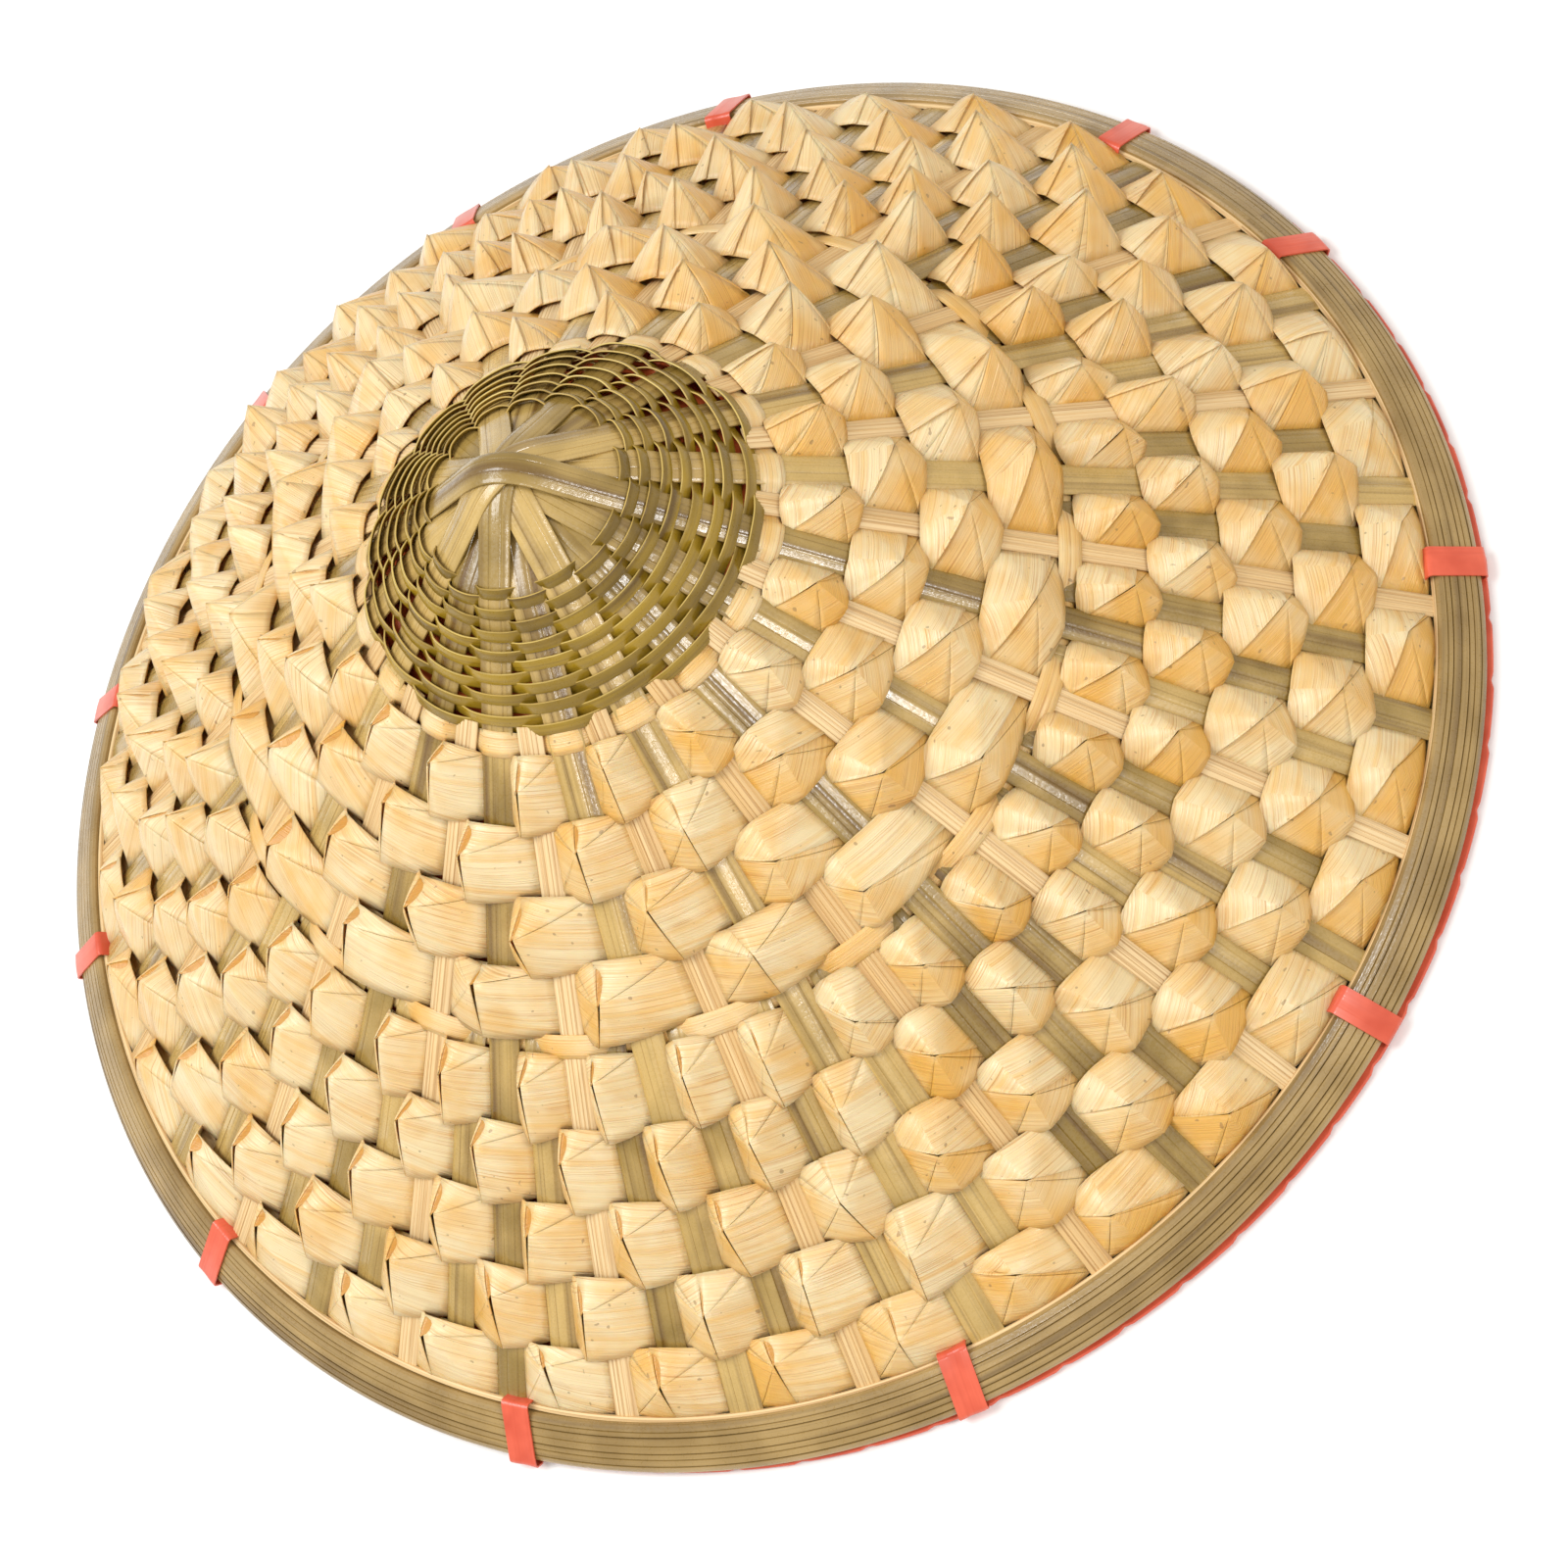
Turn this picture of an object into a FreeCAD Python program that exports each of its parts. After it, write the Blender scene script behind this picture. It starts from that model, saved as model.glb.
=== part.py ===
import FreeCAD, Part
import math
import os

import Sketcher
from FreeCAD import Placement, Rotation, Vector

# A conical hat of folded leaf strips woven over split bamboo, in millimetres.
#
# The hat stands on its rim, with its axis along +Z and the origin at the middle of the rim's underside.
# Every woven layer is placed by three numbers: the slant distance down from the cone's tip, the bearing
# round the axis, and the lift off the cone's surface. Lift 0 is the upper face of the stakes.

doc = FreeCAD.newDocument("conical_hat")
nodes = []

# ---------------------------------------------------------------- driving dimensions

SIZES = {
    # the cone
    "slope": 36.5,
    "edge_slant": 259.0,
    "foot_trim": 1.2,
    # stakes: split bamboo strips
    "stake_count": 18,
    "first_bearing": 13.7,
    "lean_angle": 3.0,
    "lean_side": 165.0,
    "stake_thick": 0.7,
    "green_width": 8.6,
    "pale_width": 6.4,
    "added_width": 8.2,
    "stake_end_slant": 257.5,
    "knee_radius": 27.0,
    "shoulder_radius": 10.0,
    "lowest_shoulder_slope": 21.0,
    "shoulder_slope_step": 2.0,
    # crown weft
    "weft_count": 14,
    "weft_first_radius": 26.0,
    "weft_radius_step": 2.07,
    "weft_thick": 0.7,
    "weft_height": 2.2,
    "weft_swing": 1.55,
    # thin binding rings
    "inner_ring_slant": 69.6,
    "outer_ring_slant": 146.0,
    "ring_width": 4.6,
    "ring_thick": 0.5,
    # leaf rows
    "inner_row_slant": 72.4,
    "inner_row_pitch": 17.8,
    "outer_row_slant": 148.6,
    "outer_row_pitch": 19.6,
    "leaf_thick": 0.6,
    "tuck_depth": 0.85,
    "peak_height": 10.5,
    # rim
    "hoop_width": 13.4,
    "upper_hoop_thick": 2.8,
    "lower_hoop_thick": 3.0,
    "groove_count": 5,
    "groove_depth": 0.45,
    "layer_gap": 0.1,
    "edge_strip_width": 1.5,
    "edge_strip_thick": 1.0,
    "wrap_thick": 1.0,
    "tie_count": 12,
    "tie_width": 8.0,
    "tie_thick": 0.5,
    "notch_margin": 0.6,
    # lining
    "lining_lift": -3.4,
    "lining_thick": 0.8,
    "lining_top_radius": 19.0,
    "lining_end_slant": 243.0,
    # head ring
    "head_ring_radius": 91.0,
    "head_ring_thick": 1.4,
    "head_ring_drop": 28.0,
    "head_tie_count": 6,
    "head_tie_width": 8.0,
    "head_tie_thick": 0.6,
    "head_tie_reach": 16.0,
}

sheet = doc.addObject("Spreadsheet::Sheet", "Sizes")
for row, (alias, value) in enumerate(SIZES.items(), start=1):
    sheet.set(f"A{row}", alias)
    sheet.set(f"B{row}", str(value))
    sheet.setAlias(f"B{row}", alias)
doc.recompute()


def size(alias):
    """The value that the sheet holds under this alias."""
    return float(sheet.get(alias))


def evaluate(text):
    """The number that an expression over the sheet comes to."""
    return float(sheet.evalExpression(text))


# ---------------------------------------------------------------- places on the cone

TIP = "(Sizes.edge_slant * sin(Sizes.slope) - Sizes.foot_trim - (" \
      "-Sizes.stake_thick - 2 * Sizes.layer_gap - Sizes.lower_hoop_thick) * cos(Sizes.slope))"


def radius_text(slant, lift):
    """Expression for the distance from the axis of a point on the cone."""
    return f"({slant}) * cos(Sizes.slope) + ({lift}) * sin(Sizes.slope)"


def height_text(slant, lift):
    """Expression for the height of a point on the cone."""
    return f"{TIP} - ({slant}) * sin(Sizes.slope) + ({lift}) * cos(Sizes.slope)"


SLOPE = math.radians(size("slope"))
LOWER_LIFT = -size("stake_thick") - 2 * size("layer_gap") - size("lower_hoop_thick")
TIP_HEIGHT = size("edge_slant") * math.sin(SLOPE) - size("foot_trim") - LOWER_LIFT * math.cos(SLOPE)


def on_cone(slant, bearing, lift):
    """The point at this slant distance, bearing in degrees and lift off the cone."""
    radius = slant * math.cos(SLOPE) + lift * math.sin(SLOPE)
    height = TIP_HEIGHT - slant * math.sin(SLOPE) + lift * math.cos(SLOPE)
    angle = math.radians(bearing)
    return Vector(radius * math.cos(angle), radius * math.sin(angle), height)


def stake_bearing(index):
    """Bearing of a green stake. Pale stakes are at index + 0.5, added ones at index + 0.25 and + 0.75.

    The stakes aren't quite evenly spread, because the weave's middle lies a little to one side.
    """
    even = size("first_bearing") + index * 360.0 / size("stake_count")
    return even + size("lean_angle") * math.cos(math.radians(even - size("lean_side")))


def stake_width(index):
    """Width of the stake at this index, as stake_bearing counts them."""
    part_of_pitch = round(index * 4) % 4
    if part_of_pitch == 0:
        return size("green_width")
    if part_of_pitch == 2:
        return size("pale_width")
    return size("added_width")


# ---------------------------------------------------------------- making the document's objects


def keep(item, label):
    """Give a finished sub-part its own label, and list it to be written."""
    item.Label = label
    nodes.append(item)
    return item


def profile_sketch(body, name, *outlines):
    """Closed outlines in the body's XZ plane, each corner a pair of expressions for X and Z.

    A second outline inside the first is a hole.
    """
    sketch = body.newObject("Sketcher::SketchObject", name)
    plane = [item for item in body.Origin.OriginFeatures if item.Role == "XZ_Plane"][0]
    sketch.AttachmentSupport = [(plane, "")]
    sketch.MapMode = "FlatFace"
    first_line = 0
    for corners in outlines:
        points = [Vector(evaluate(x), evaluate(z), 0) for x, z in corners]
        count = len(points)
        for i, point in enumerate(points):
            sketch.addGeometry(Part.LineSegment(point, points[(i + 1) % count]))
        for i in range(count):
            following = first_line + (i + 1) % count
            sketch.addConstraint(Sketcher.Constraint("Coincident", first_line + i, 2, following, 1))
        for i, (x_text, z_text) in enumerate(corners):
            distances = (("DistanceX", x_text, points[i].x), ("DistanceY", z_text, points[i].y))
            for kind, text, value in distances:
                number = sketch.addConstraint(Sketcher.Constraint(kind, -1, 1, first_line + i, 1, value))
                sketch.setExpression(f"Constraints[{number}]", text)
        first_line += count
    return sketch


def revolved(name, corners):
    """A ring turned round the axis from an outline of (X, Z) expressions."""
    body = doc.addObject("PartDesign::Body", name)
    sketch = profile_sketch(body, name + "_outline", corners)
    turn = body.newObject("PartDesign::Revolution", name + "_turn")
    turn.Profile = sketch
    turn.ReferenceAxis = (sketch, ["V_Axis"])
    turn.Angle = 360.0
    return body


def solid_from_faces(faces):
    """One closed solid from faces that meet edge to edge, turned the right way out."""
    shell = Part.makeShell(faces)
    shell.sewShape()
    solid = Part.makeSolid(shell)
    if solid.Volume < 0:
        solid.reverse()
    return solid


def freeform(label, shape):
    """A sub-part whose shape is worked out in this file's own functions."""
    item = doc.addObject("Part::Feature", label)
    item.Shape = shape
    item.Placement = Placement()
    return keep(item, label)


# ---------------------------------------------------------------- stakes


def arm_corners(layer):
    """Half of a long strip: from just past the middle, over the shoulder and down to the rim."""
    slope_text = f"(Sizes.lowest_shoulder_slope + {layer} * Sizes.shoulder_slope_step)"
    knee_slant = "Sizes.knee_radius / cos(Sizes.slope)"
    knee_height = height_text(knee_slant, "0")
    shoulder = f"({knee_height} + (Sizes.knee_radius - Sizes.shoulder_radius) * tan({slope_text}))"
    crest = f"Sizes.shoulder_radius * tan({slope_text} / 2)"
    middle = f"({shoulder} + {crest})"
    upper = [
        ("-Sizes.green_width / 4", middle),
        ("Sizes.shoulder_radius / 4", middle),
        ("Sizes.shoulder_radius * 5 / 8", f"{shoulder} + {crest} * 2 / 3"),
        ("Sizes.shoulder_radius", shoulder),
        ("Sizes.knee_radius", knee_height),
        (radius_text("Sizes.stake_end_slant", "0"), height_text("Sizes.stake_end_slant", "0")),
    ]
    lower = [(x, f"{z} - Sizes.stake_thick / cos(Sizes.slope)") for x, z in reversed(upper)]
    return upper + lower


def through_strip(label, index, layer):
    """One long strip over the top, with an arm for the stake at index and one for the stake opposite."""
    body = doc.addObject("PartDesign::Body", label)
    first = stake_bearing(index)
    opposite = stake_bearing(index + size("stake_count") / 2)
    for arm, turn in (("near", 0.0), ("far", opposite - first)):
        sketch = profile_sketch(body, f"{label}_{arm}_outline", arm_corners(layer))
        sketch.AttachmentOffset = Placement(Vector(), Rotation(Vector(0, 1, 0), turn))
        pad = body.newObject("PartDesign::Pad", f"{label}_{arm}_arm")
        pad.Profile = sketch
        pad.SideType = "Symmetric"
        pad.setExpression("Length", "Sizes.green_width")
    body.Placement = Placement(Vector(), Rotation(Vector(0, 0, 1), first))
    return keep(body, label)


def straight_stakes(label, indices, start_slant, width_alias):
    """A group of straight stakes that lie on the cone from start_slant to the rim."""
    links = []
    for number, index in enumerate(indices, start=1):
        stake = doc.addObject("Part::Box", f"{label}_{number}")
        stake.setExpression("Length", f"Sizes.stake_end_slant - {start_slant}")
        stake.setExpression("Width", f"Sizes.{width_alias}")
        stake.setExpression("Height", "Sizes.stake_thick")
        bearing = stake_bearing(index)
        lean = Rotation(Vector(0, 0, 1), bearing) * Rotation(Vector(0, 1, 0), size("slope"))
        side = lean.multVec(Vector(0, -size(width_alias) / 2, 0))
        start = evaluate(start_slant)
        stake.Placement = Placement(on_cone(start, bearing, -size("stake_thick")) + side, lean)
        links.append(stake)
    group = doc.addObject("Part::Compound", label)
    group.Links = links
    return keep(group, label)


# Neighbouring strips are kept several layers apart, so that they clear each other where they meet.
LAYER_ORDER = [2, 6, 1, 5, 0, 4, 8, 3, 7]
for index, layer in enumerate(LAYER_ORDER):
    through_strip(f"crown_strip_{index + 1}", index, layer)

pitches = range(int(size("stake_count")))
pale_places = [i + 0.5 for i in pitches]
added_places = [i + part for i in pitches for part in (0.25, 0.75)]
straight_stakes("pale_stakes", pale_places, "Sizes.inner_ring_slant - Sizes.ring_width", "pale_width")
straight_stakes("added_stakes", added_places, "Sizes.outer_ring_slant", "added_width")

# ---------------------------------------------------------------- woven rings


def wave(index):
    """+1 over a stake with an even index, -1 under an odd one, with flat tops."""
    sharpness = 2.2
    return math.tanh(sharpness * math.cos(math.pi * index)) / math.tanh(sharpness)


def woven_ring(slant, width, thick, swing, beats, phase, steps_per_stake):
    """A closed strip that passes over a stake and under the next, beats times in each stake pitch."""
    corner_curves = []
    for across, through in ((-0.5, -0.5), (0.5, -0.5), (0.5, 0.5), (-0.5, 0.5)):
        points = []
        for step in range(int(size("stake_count")) * steps_per_stake):
            index = step / steps_per_stake
            lift = -size("stake_thick") / 2 + swing * wave(beats * index + phase) + through * thick
            points.append(on_cone(slant + across * width, stake_bearing(index), lift))
        curve = Part.BSplineCurve()
        curve.interpolate(Points=points, PeriodicFlag=True)
        corner_curves.append(curve.toShape())
    faces = [Part.makeRuledSurface(corner_curves[i], corner_curves[(i + 1) % 4]) for i in range(4)]
    return solid_from_faces(faces)


for number in range(int(size("weft_count"))):
    weft_slant = (size("weft_first_radius") + number * size("weft_radius_step")) / math.cos(SLOPE)
    ring = woven_ring(
        weft_slant, size("weft_thick"), size("weft_height"), size("weft_swing"), 1, number % 2,
        steps_per_stake=6)
    freeform(f"crown_weft_{number + 1:02d}", ring)


def binding_ring(label, slant, phase):
    """A thin leaf strip between two zones: over the green stakes at phase 0, over the pale ones at 1."""
    swing = size("stake_thick") / 2 + size("ring_thick") / 2 + size("layer_gap")
    ring = woven_ring(slant, size("ring_width"), size("ring_thick"), swing, 2, phase, steps_per_stake=12)
    return freeform(label, ring)


binding_ring("inner_binding_ring", size("inner_ring_slant"), 0)
binding_ring("outer_binding_ring", size("outer_ring_slant"), 1)

# ---------------------------------------------------------------- folded leaf rows


def triangle(first, second, third):
    return Part.Face(Part.makePolygon([first, second, third, first]))


def leaf_row(label, start_slant, pitch, peak_indices, index_step, lower_point=1.12, lower_corner=0.97):
    """A ring of leaf strip, folded into a hollow peak over each hidden stake and tucked under the rest.

    A peak is a fan of facets from its apex to six edge points. Between two peaks the strip is flat.
    """
    tuck = -size("tuck_depth")
    # (place across the peak, place down the row, lift)
    rim_points = [
        (0.0, 0.03, tuck), (0.5, -0.08, 4.0), (1.0, 0.03, tuck),
        (1.0, lower_corner, tuck), (0.5, lower_point, 1.6), (0.0, lower_corner, tuck),
    ]
    apex_point = (0.52, 0.62, size("peak_height"))

    def place(index, across, down, lift):
        slant = start_slant + down * pitch
        radius = slant * math.cos(SLOPE)
        left_half = math.degrees(stake_width(index - index_step) / 2 / radius)
        right_half = math.degrees(stake_width(index + index_step) / 2 / radius)
        left = stake_bearing(index - index_step) + left_half
        right = stake_bearing(index + index_step) - right_half
        return on_cone(slant, left + across * (right - left), lift)

    skins = []
    for drop in (0.0, size("leaf_thick")):
        edges = [[place(index, a, d, lift - drop) for a, d, lift in rim_points] for index in peak_indices]
        tips = [place(index, *apex_point[:2], apex_point[2] - 1.5 * drop) for index in peak_indices]
        skins.append((edges, tips))

    faces = []
    count = len(peak_indices)
    for edges, tips in skins:
        for i in range(count):
            ring = edges[i]
            following = edges[(i + 1) % count]
            for k in range(6):
                faces.append(triangle(tips[i], ring[k], ring[(k + 1) % 6]))
            faces.append(triangle(ring[2], following[0], following[5]))
            faces.append(triangle(ring[2], following[5], ring[3]))
    for i in range(count):
        following = (i + 1) % count
        crown_side = [(i, 0, i, 1), (i, 1, i, 2), (i, 2, following, 0)]
        rim_side = [(i, 3, i, 4), (i, 4, i, 5), (i, 3, following, 5)]
        for first_peak, first_point, second_peak, second_point in crown_side + rim_side:
            outer_first = skins[0][0][first_peak][first_point]
            outer_second = skins[0][0][second_peak][second_point]
            inner_first = skins[1][0][first_peak][first_point]
            inner_second = skins[1][0][second_peak][second_point]
            faces.append(triangle(outer_first, outer_second, inner_second))
            faces.append(triangle(outer_first, inner_second, inner_first))
    return freeform(label, solid_from_faces(faces))


for number in range(4):
    over_pale = number % 2 == 0
    peaks = [i + (0.5 if over_pale else 0.0) for i in pitches]
    leaf_row(
        f"leaf_row_{number + 1}", size("inner_row_slant") + number * size("inner_row_pitch"),
        size("inner_row_pitch"), peaks, 0.5)

for number in range(5):
    over_added = number % 2 == 0
    shift = 0.25 if over_added else 0.0
    peaks = [i / 2 + shift for i in range(2 * len(pitches))]
    start = size("outer_row_slant") + number * size("outer_row_pitch")
    if number < 4:
        leaf_row(f"leaf_row_{number + 5}", start, size("outer_row_pitch"), peaks, 0.25)
    else:
        leaf_row(f"leaf_row_{number + 5}", start, size("outer_row_pitch"), peaks, 0.25, 0.83, 0.78)

# ---------------------------------------------------------------- rim


def cone_corners(places):
    """Outline corners from (slant, lift) pairs of expressions."""
    return [(radius_text(slant, lift), height_text(slant, lift)) for slant, lift in places]


def grooved_top():
    """The upper hoop's upper face, from its inner edge out, with lengthwise grooves."""
    bottom = "Sizes.layer_gap"
    top = "(Sizes.layer_gap + Sizes.upper_hoop_thick)"
    inner = "(Sizes.edge_slant - Sizes.hoop_width)"
    rib = "Sizes.hoop_width / (Sizes.groove_count + 1)"
    places = [(inner, bottom), (inner, f"{top} - Sizes.groove_depth"), (f"{inner} + {rib} / 4", top)]
    for number in range(1, int(size("groove_count")) + 1):
        middle = f"{inner} + {number} * {rib}"
        places.append((f"{middle} - {rib} / 5", top))
        places.append((middle, f"{top} - Sizes.groove_depth"))
        places.append((f"{middle} + {rib} / 5", top))
    places.append((f"Sizes.edge_slant - {rib} / 4", top))
    places.append(("Sizes.edge_slant", f"{top} - Sizes.groove_depth"))
    places.append(("Sizes.edge_slant", bottom))
    return places


keep(revolved("upper_rim_hoop", cone_corners(grooved_top())), "upper_rim_hoop")


HOOP_TOP = "(-Sizes.stake_thick - 2 * Sizes.layer_gap)"
HOOP_BOTTOM = f"({HOOP_TOP} - Sizes.lower_hoop_thick)"


def lift_at(slant, height):
    """Lift of the point at this slant distance and height."""
    return f"((({height}) - {TIP} + ({slant}) * sin(Sizes.slope)) / cos(Sizes.slope))"


def slant_at(lift, height):
    """Slant distance of the point at this lift and height."""
    return f"(({TIP} + ({lift}) * cos(Sizes.slope) - ({height})) / sin(Sizes.slope))"


def footed_section(inner, outer, top, bottom, foot):
    """A section across the rim whose lowest corner is cut off level at the height foot."""
    return cone_corners([
        (inner, top),
        (outer, top),
        (outer, lift_at(outer, foot)),
        (slant_at(bottom, foot), bottom),
        (inner, bottom),
    ])


HOOP_INNER = "(Sizes.edge_slant - Sizes.hoop_width)"
hoop_section = footed_section(HOOP_INNER, "Sizes.edge_slant", HOOP_TOP, HOOP_BOTTOM, "0")
hoop_ring = revolved("lower_hoop_ring", hoop_section)

STRIP_END = f"({HOOP_INNER} - Sizes.layer_gap)"
STRIP_START = f"({STRIP_END} - Sizes.edge_strip_width)"
STRIP_TOP = "(Sizes.layer_gap + Sizes.edge_strip_thick)"
keep(revolved("rim_edge_strip", cone_corners([
    (STRIP_START, "Sizes.layer_gap"),
    (STRIP_START, STRIP_TOP),
    (STRIP_END, STRIP_TOP),
    (STRIP_END, "Sizes.layer_gap"),
])), "rim_edge_strip")

WRAP_START = "(Sizes.edge_slant + Sizes.layer_gap / 4)"
WRAP_END = "(Sizes.edge_slant + Sizes.wrap_thick)"
keep(revolved("rim_wrap", cone_corners([
    (WRAP_START, HOOP_TOP),
    (WRAP_END, HOOP_TOP),
    (WRAP_END, lift_at(WRAP_END, "Sizes.layer_gap")),
    (WRAP_START, lift_at(WRAP_START, "Sizes.layer_gap")),
])), "rim_wrap")

# Bearings of the straps: they were tied by hand, so their spacing is uneven.
TIE_BEARINGS = [15, 51.5, 77, 101.5, 132, 155, 185.5, 217, 250.5, 289, 324.5, 355.5]


def tie_outline(margin, foot):
    """An outline round both hoops, the edge strip and the wrap, this far outside them."""
    return footed_section(
        f"({STRIP_START} - Sizes.layer_gap - {margin})",
        f"({WRAP_END} + Sizes.layer_gap + {margin})",
        f"(2 * Sizes.layer_gap + Sizes.upper_hoop_thick + {margin})",
        f"({HOOP_BOTTOM} - Sizes.layer_gap - {margin})",
        foot)


def rim_tie(label, bearing):
    """A strap round the rim, closed on itself, that lies in a notch of the lower hoop's foot."""
    body = doc.addObject("PartDesign::Body", label)
    inside = tie_outline("0", "Sizes.layer_gap + Sizes.tie_thick")
    outside = tie_outline("Sizes.tie_thick", "Sizes.layer_gap")
    sketch = profile_sketch(body, label + "_outline", outside, inside)
    pad = body.newObject("PartDesign::Pad", label + "_strap")
    pad.Profile = sketch
    pad.SideType = "Symmetric"
    pad.setExpression("Length", "Sizes.tie_width")
    body.Placement = Placement(Vector(), Rotation(Vector(0, 0, 1), bearing))
    return keep(body, label)


def foot_notch(name, bearing):
    """The block that clears the foot where a strap passes under it."""
    block = doc.addObject("Part::Box", name)
    block.setExpression("Length", "Sizes.hoop_width * 2")
    block.setExpression("Width", "Sizes.tie_width + 2 * Sizes.notch_margin")
    block.setExpression("Height", "2 * Sizes.tie_thick + 2 * Sizes.layer_gap")
    turn = Rotation(Vector(0, 0, 1), bearing)
    inner_end = evaluate(radius_text(STRIP_START, "0"))
    corner = Vector(inner_end, -size("tie_width") / 2 - size("notch_margin"), -size("tie_thick"))
    block.Placement = Placement(turn.multVec(corner), turn)
    return block


notches = []
for number, bearing in enumerate(TIE_BEARINGS, start=1):
    rim_tie(f"rim_tie_{number:02d}", bearing)
    notches.append(foot_notch(f"foot_notch_{number:02d}", bearing))
notch_group = doc.addObject("Part::Compound", "foot_notches")
notch_group.Links = notches
lower_hoop = doc.addObject("Part::Cut", "lower_hoop")
lower_hoop.Base = hoop_ring
lower_hoop.Tool = notch_group
keep(lower_hoop, "lower_rim_hoop")

# ---------------------------------------------------------------- lining

LINING_TOP = "Sizes.lining_lift"
LINING_BOTTOM = "(Sizes.lining_lift - Sizes.lining_thick)"


def cone_block(name, lift, top_radius):
    """A solid cone under the surface at this lift, cut off flat where it narrows to top_radius."""
    cone = doc.addObject("Part::Cone", name)
    foot_radius = radius_text("Sizes.lining_end_slant", lift)
    cone.setExpression("Radius1", foot_radius)
    cone.setExpression("Radius2", top_radius)
    cone.setExpression("Height", f"({foot_radius} - {top_radius}) * tan(Sizes.slope)")
    cone.setExpression("Placement.Base.z", height_text("Sizes.lining_end_slant", lift))
    return cone


lining = doc.addObject("Part::Cut", "lining")
lining.Base = cone_block("lining_outside", LINING_TOP, "Sizes.lining_top_radius")
lining.Tool = cone_block("lining_inside", LINING_BOTTOM, "Sizes.lining_top_radius")
keep(lining, "lining_cone")

# ---------------------------------------------------------------- head ring

ring_top_gap = "Sizes.layer_gap * 2"


def under_lining(radius):
    """Height of the lining's underside at this distance from the axis."""
    slant = f"(({radius}) - {LINING_BOTTOM} * sin(Sizes.slope)) / cos(Sizes.slope)"
    return height_text(slant, LINING_BOTTOM)


INNER = "(Sizes.head_ring_radius - Sizes.head_ring_thick)"
OUTER = "Sizes.head_ring_radius"
keep(revolved("head_ring", [
    (INNER, f"{under_lining(OUTER)} - {ring_top_gap}"),
    (OUTER, f"{under_lining(OUTER)} - {ring_top_gap}"),
    (OUTER, f"{under_lining(OUTER)} - Sizes.head_ring_drop"),
    (INNER, f"{under_lining(OUTER)} - Sizes.head_ring_drop"),
]), "head_ring")


def head_ring_tie(name, bearing):
    """A strap down the ring's outside, under its lower edge and up its inside to the lining."""
    body = doc.addObject("PartDesign::Body", name)
    out = "(Sizes.head_ring_radius + Sizes.layer_gap)"
    far = f"({out} + Sizes.head_tie_thick)"
    inn = "(Sizes.head_ring_radius - Sizes.head_ring_thick - Sizes.layer_gap)"
    near = f"({inn} - Sizes.head_tie_thick)"
    low = f"({under_lining(OUTER)} - Sizes.head_ring_drop - Sizes.layer_gap)"
    inner_end = f"({under_lining(INNER)} - Sizes.layer_gap * 3)"
    reach = f"({far} + Sizes.head_tie_reach * cos(Sizes.slope))"
    sketch = profile_sketch(body, name + "_outline", [
        (out, f"{under_lining(out)} - Sizes.layer_gap"),
        (out, low),
        (inn, low),
        (inn, inner_end),
        (near, inner_end),
        (near, f"{low} - Sizes.head_tie_thick"),
        (far, f"{low} - Sizes.head_tie_thick"),
        (far, f"{under_lining(far)} - Sizes.layer_gap - Sizes.head_tie_thick"),
        (reach, f"{under_lining(reach)} - Sizes.layer_gap - Sizes.head_tie_thick"),
        (reach, f"{under_lining(reach)} - Sizes.layer_gap"),
    ])
    pad = body.newObject("PartDesign::Pad", name + "_strap")
    pad.Profile = sketch
    pad.SideType = "Symmetric"
    pad.setExpression("Length", "Sizes.head_tie_width")
    body.Placement = Placement(Vector(), Rotation(Vector(0, 0, 1), bearing))
    return body


ties = []
for number in range(int(size("head_tie_count"))):
    ties.append(head_ring_tie(f"head_ring_tie_{number + 1}", 30 + number * 360.0 / size("head_tie_count")))
head_ties = doc.addObject("Part::Compound", "head_ring_ties")
head_ties.Links = ties
keep(head_ties, "head_ring_ties")

# ---------------------------------------------------------------- check and write

doc.recompute()
for item in doc.Objects:
    if "Invalid" in item.State or "Error" in item.State:
        raise RuntimeError(f"{item.Label} failed: {item.State}")
os.makedirs("parts", exist_ok=True)
for item in nodes:
    shape = item.Shape
    if shape.isNull() or not shape.isValid() or shape.Volume <= 0:
        raise RuntimeError(f"{item.Label} has no valid solid")
    shape.exportStep(f"parts/{item.Label}.step")
    box = shape.BoundBox
    print(f"{item.Label:20s} {len(shape.Solids):3d} solids {len(shape.Faces):5d} faces"
          f"  {shape.Volume:10.1f} mm3  z {box.ZMin:.2f} to {box.ZMax:.2f}")
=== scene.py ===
import math

import bmesh
import bpy
import numpy as np
from mathutils import Matrix, Vector


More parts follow.
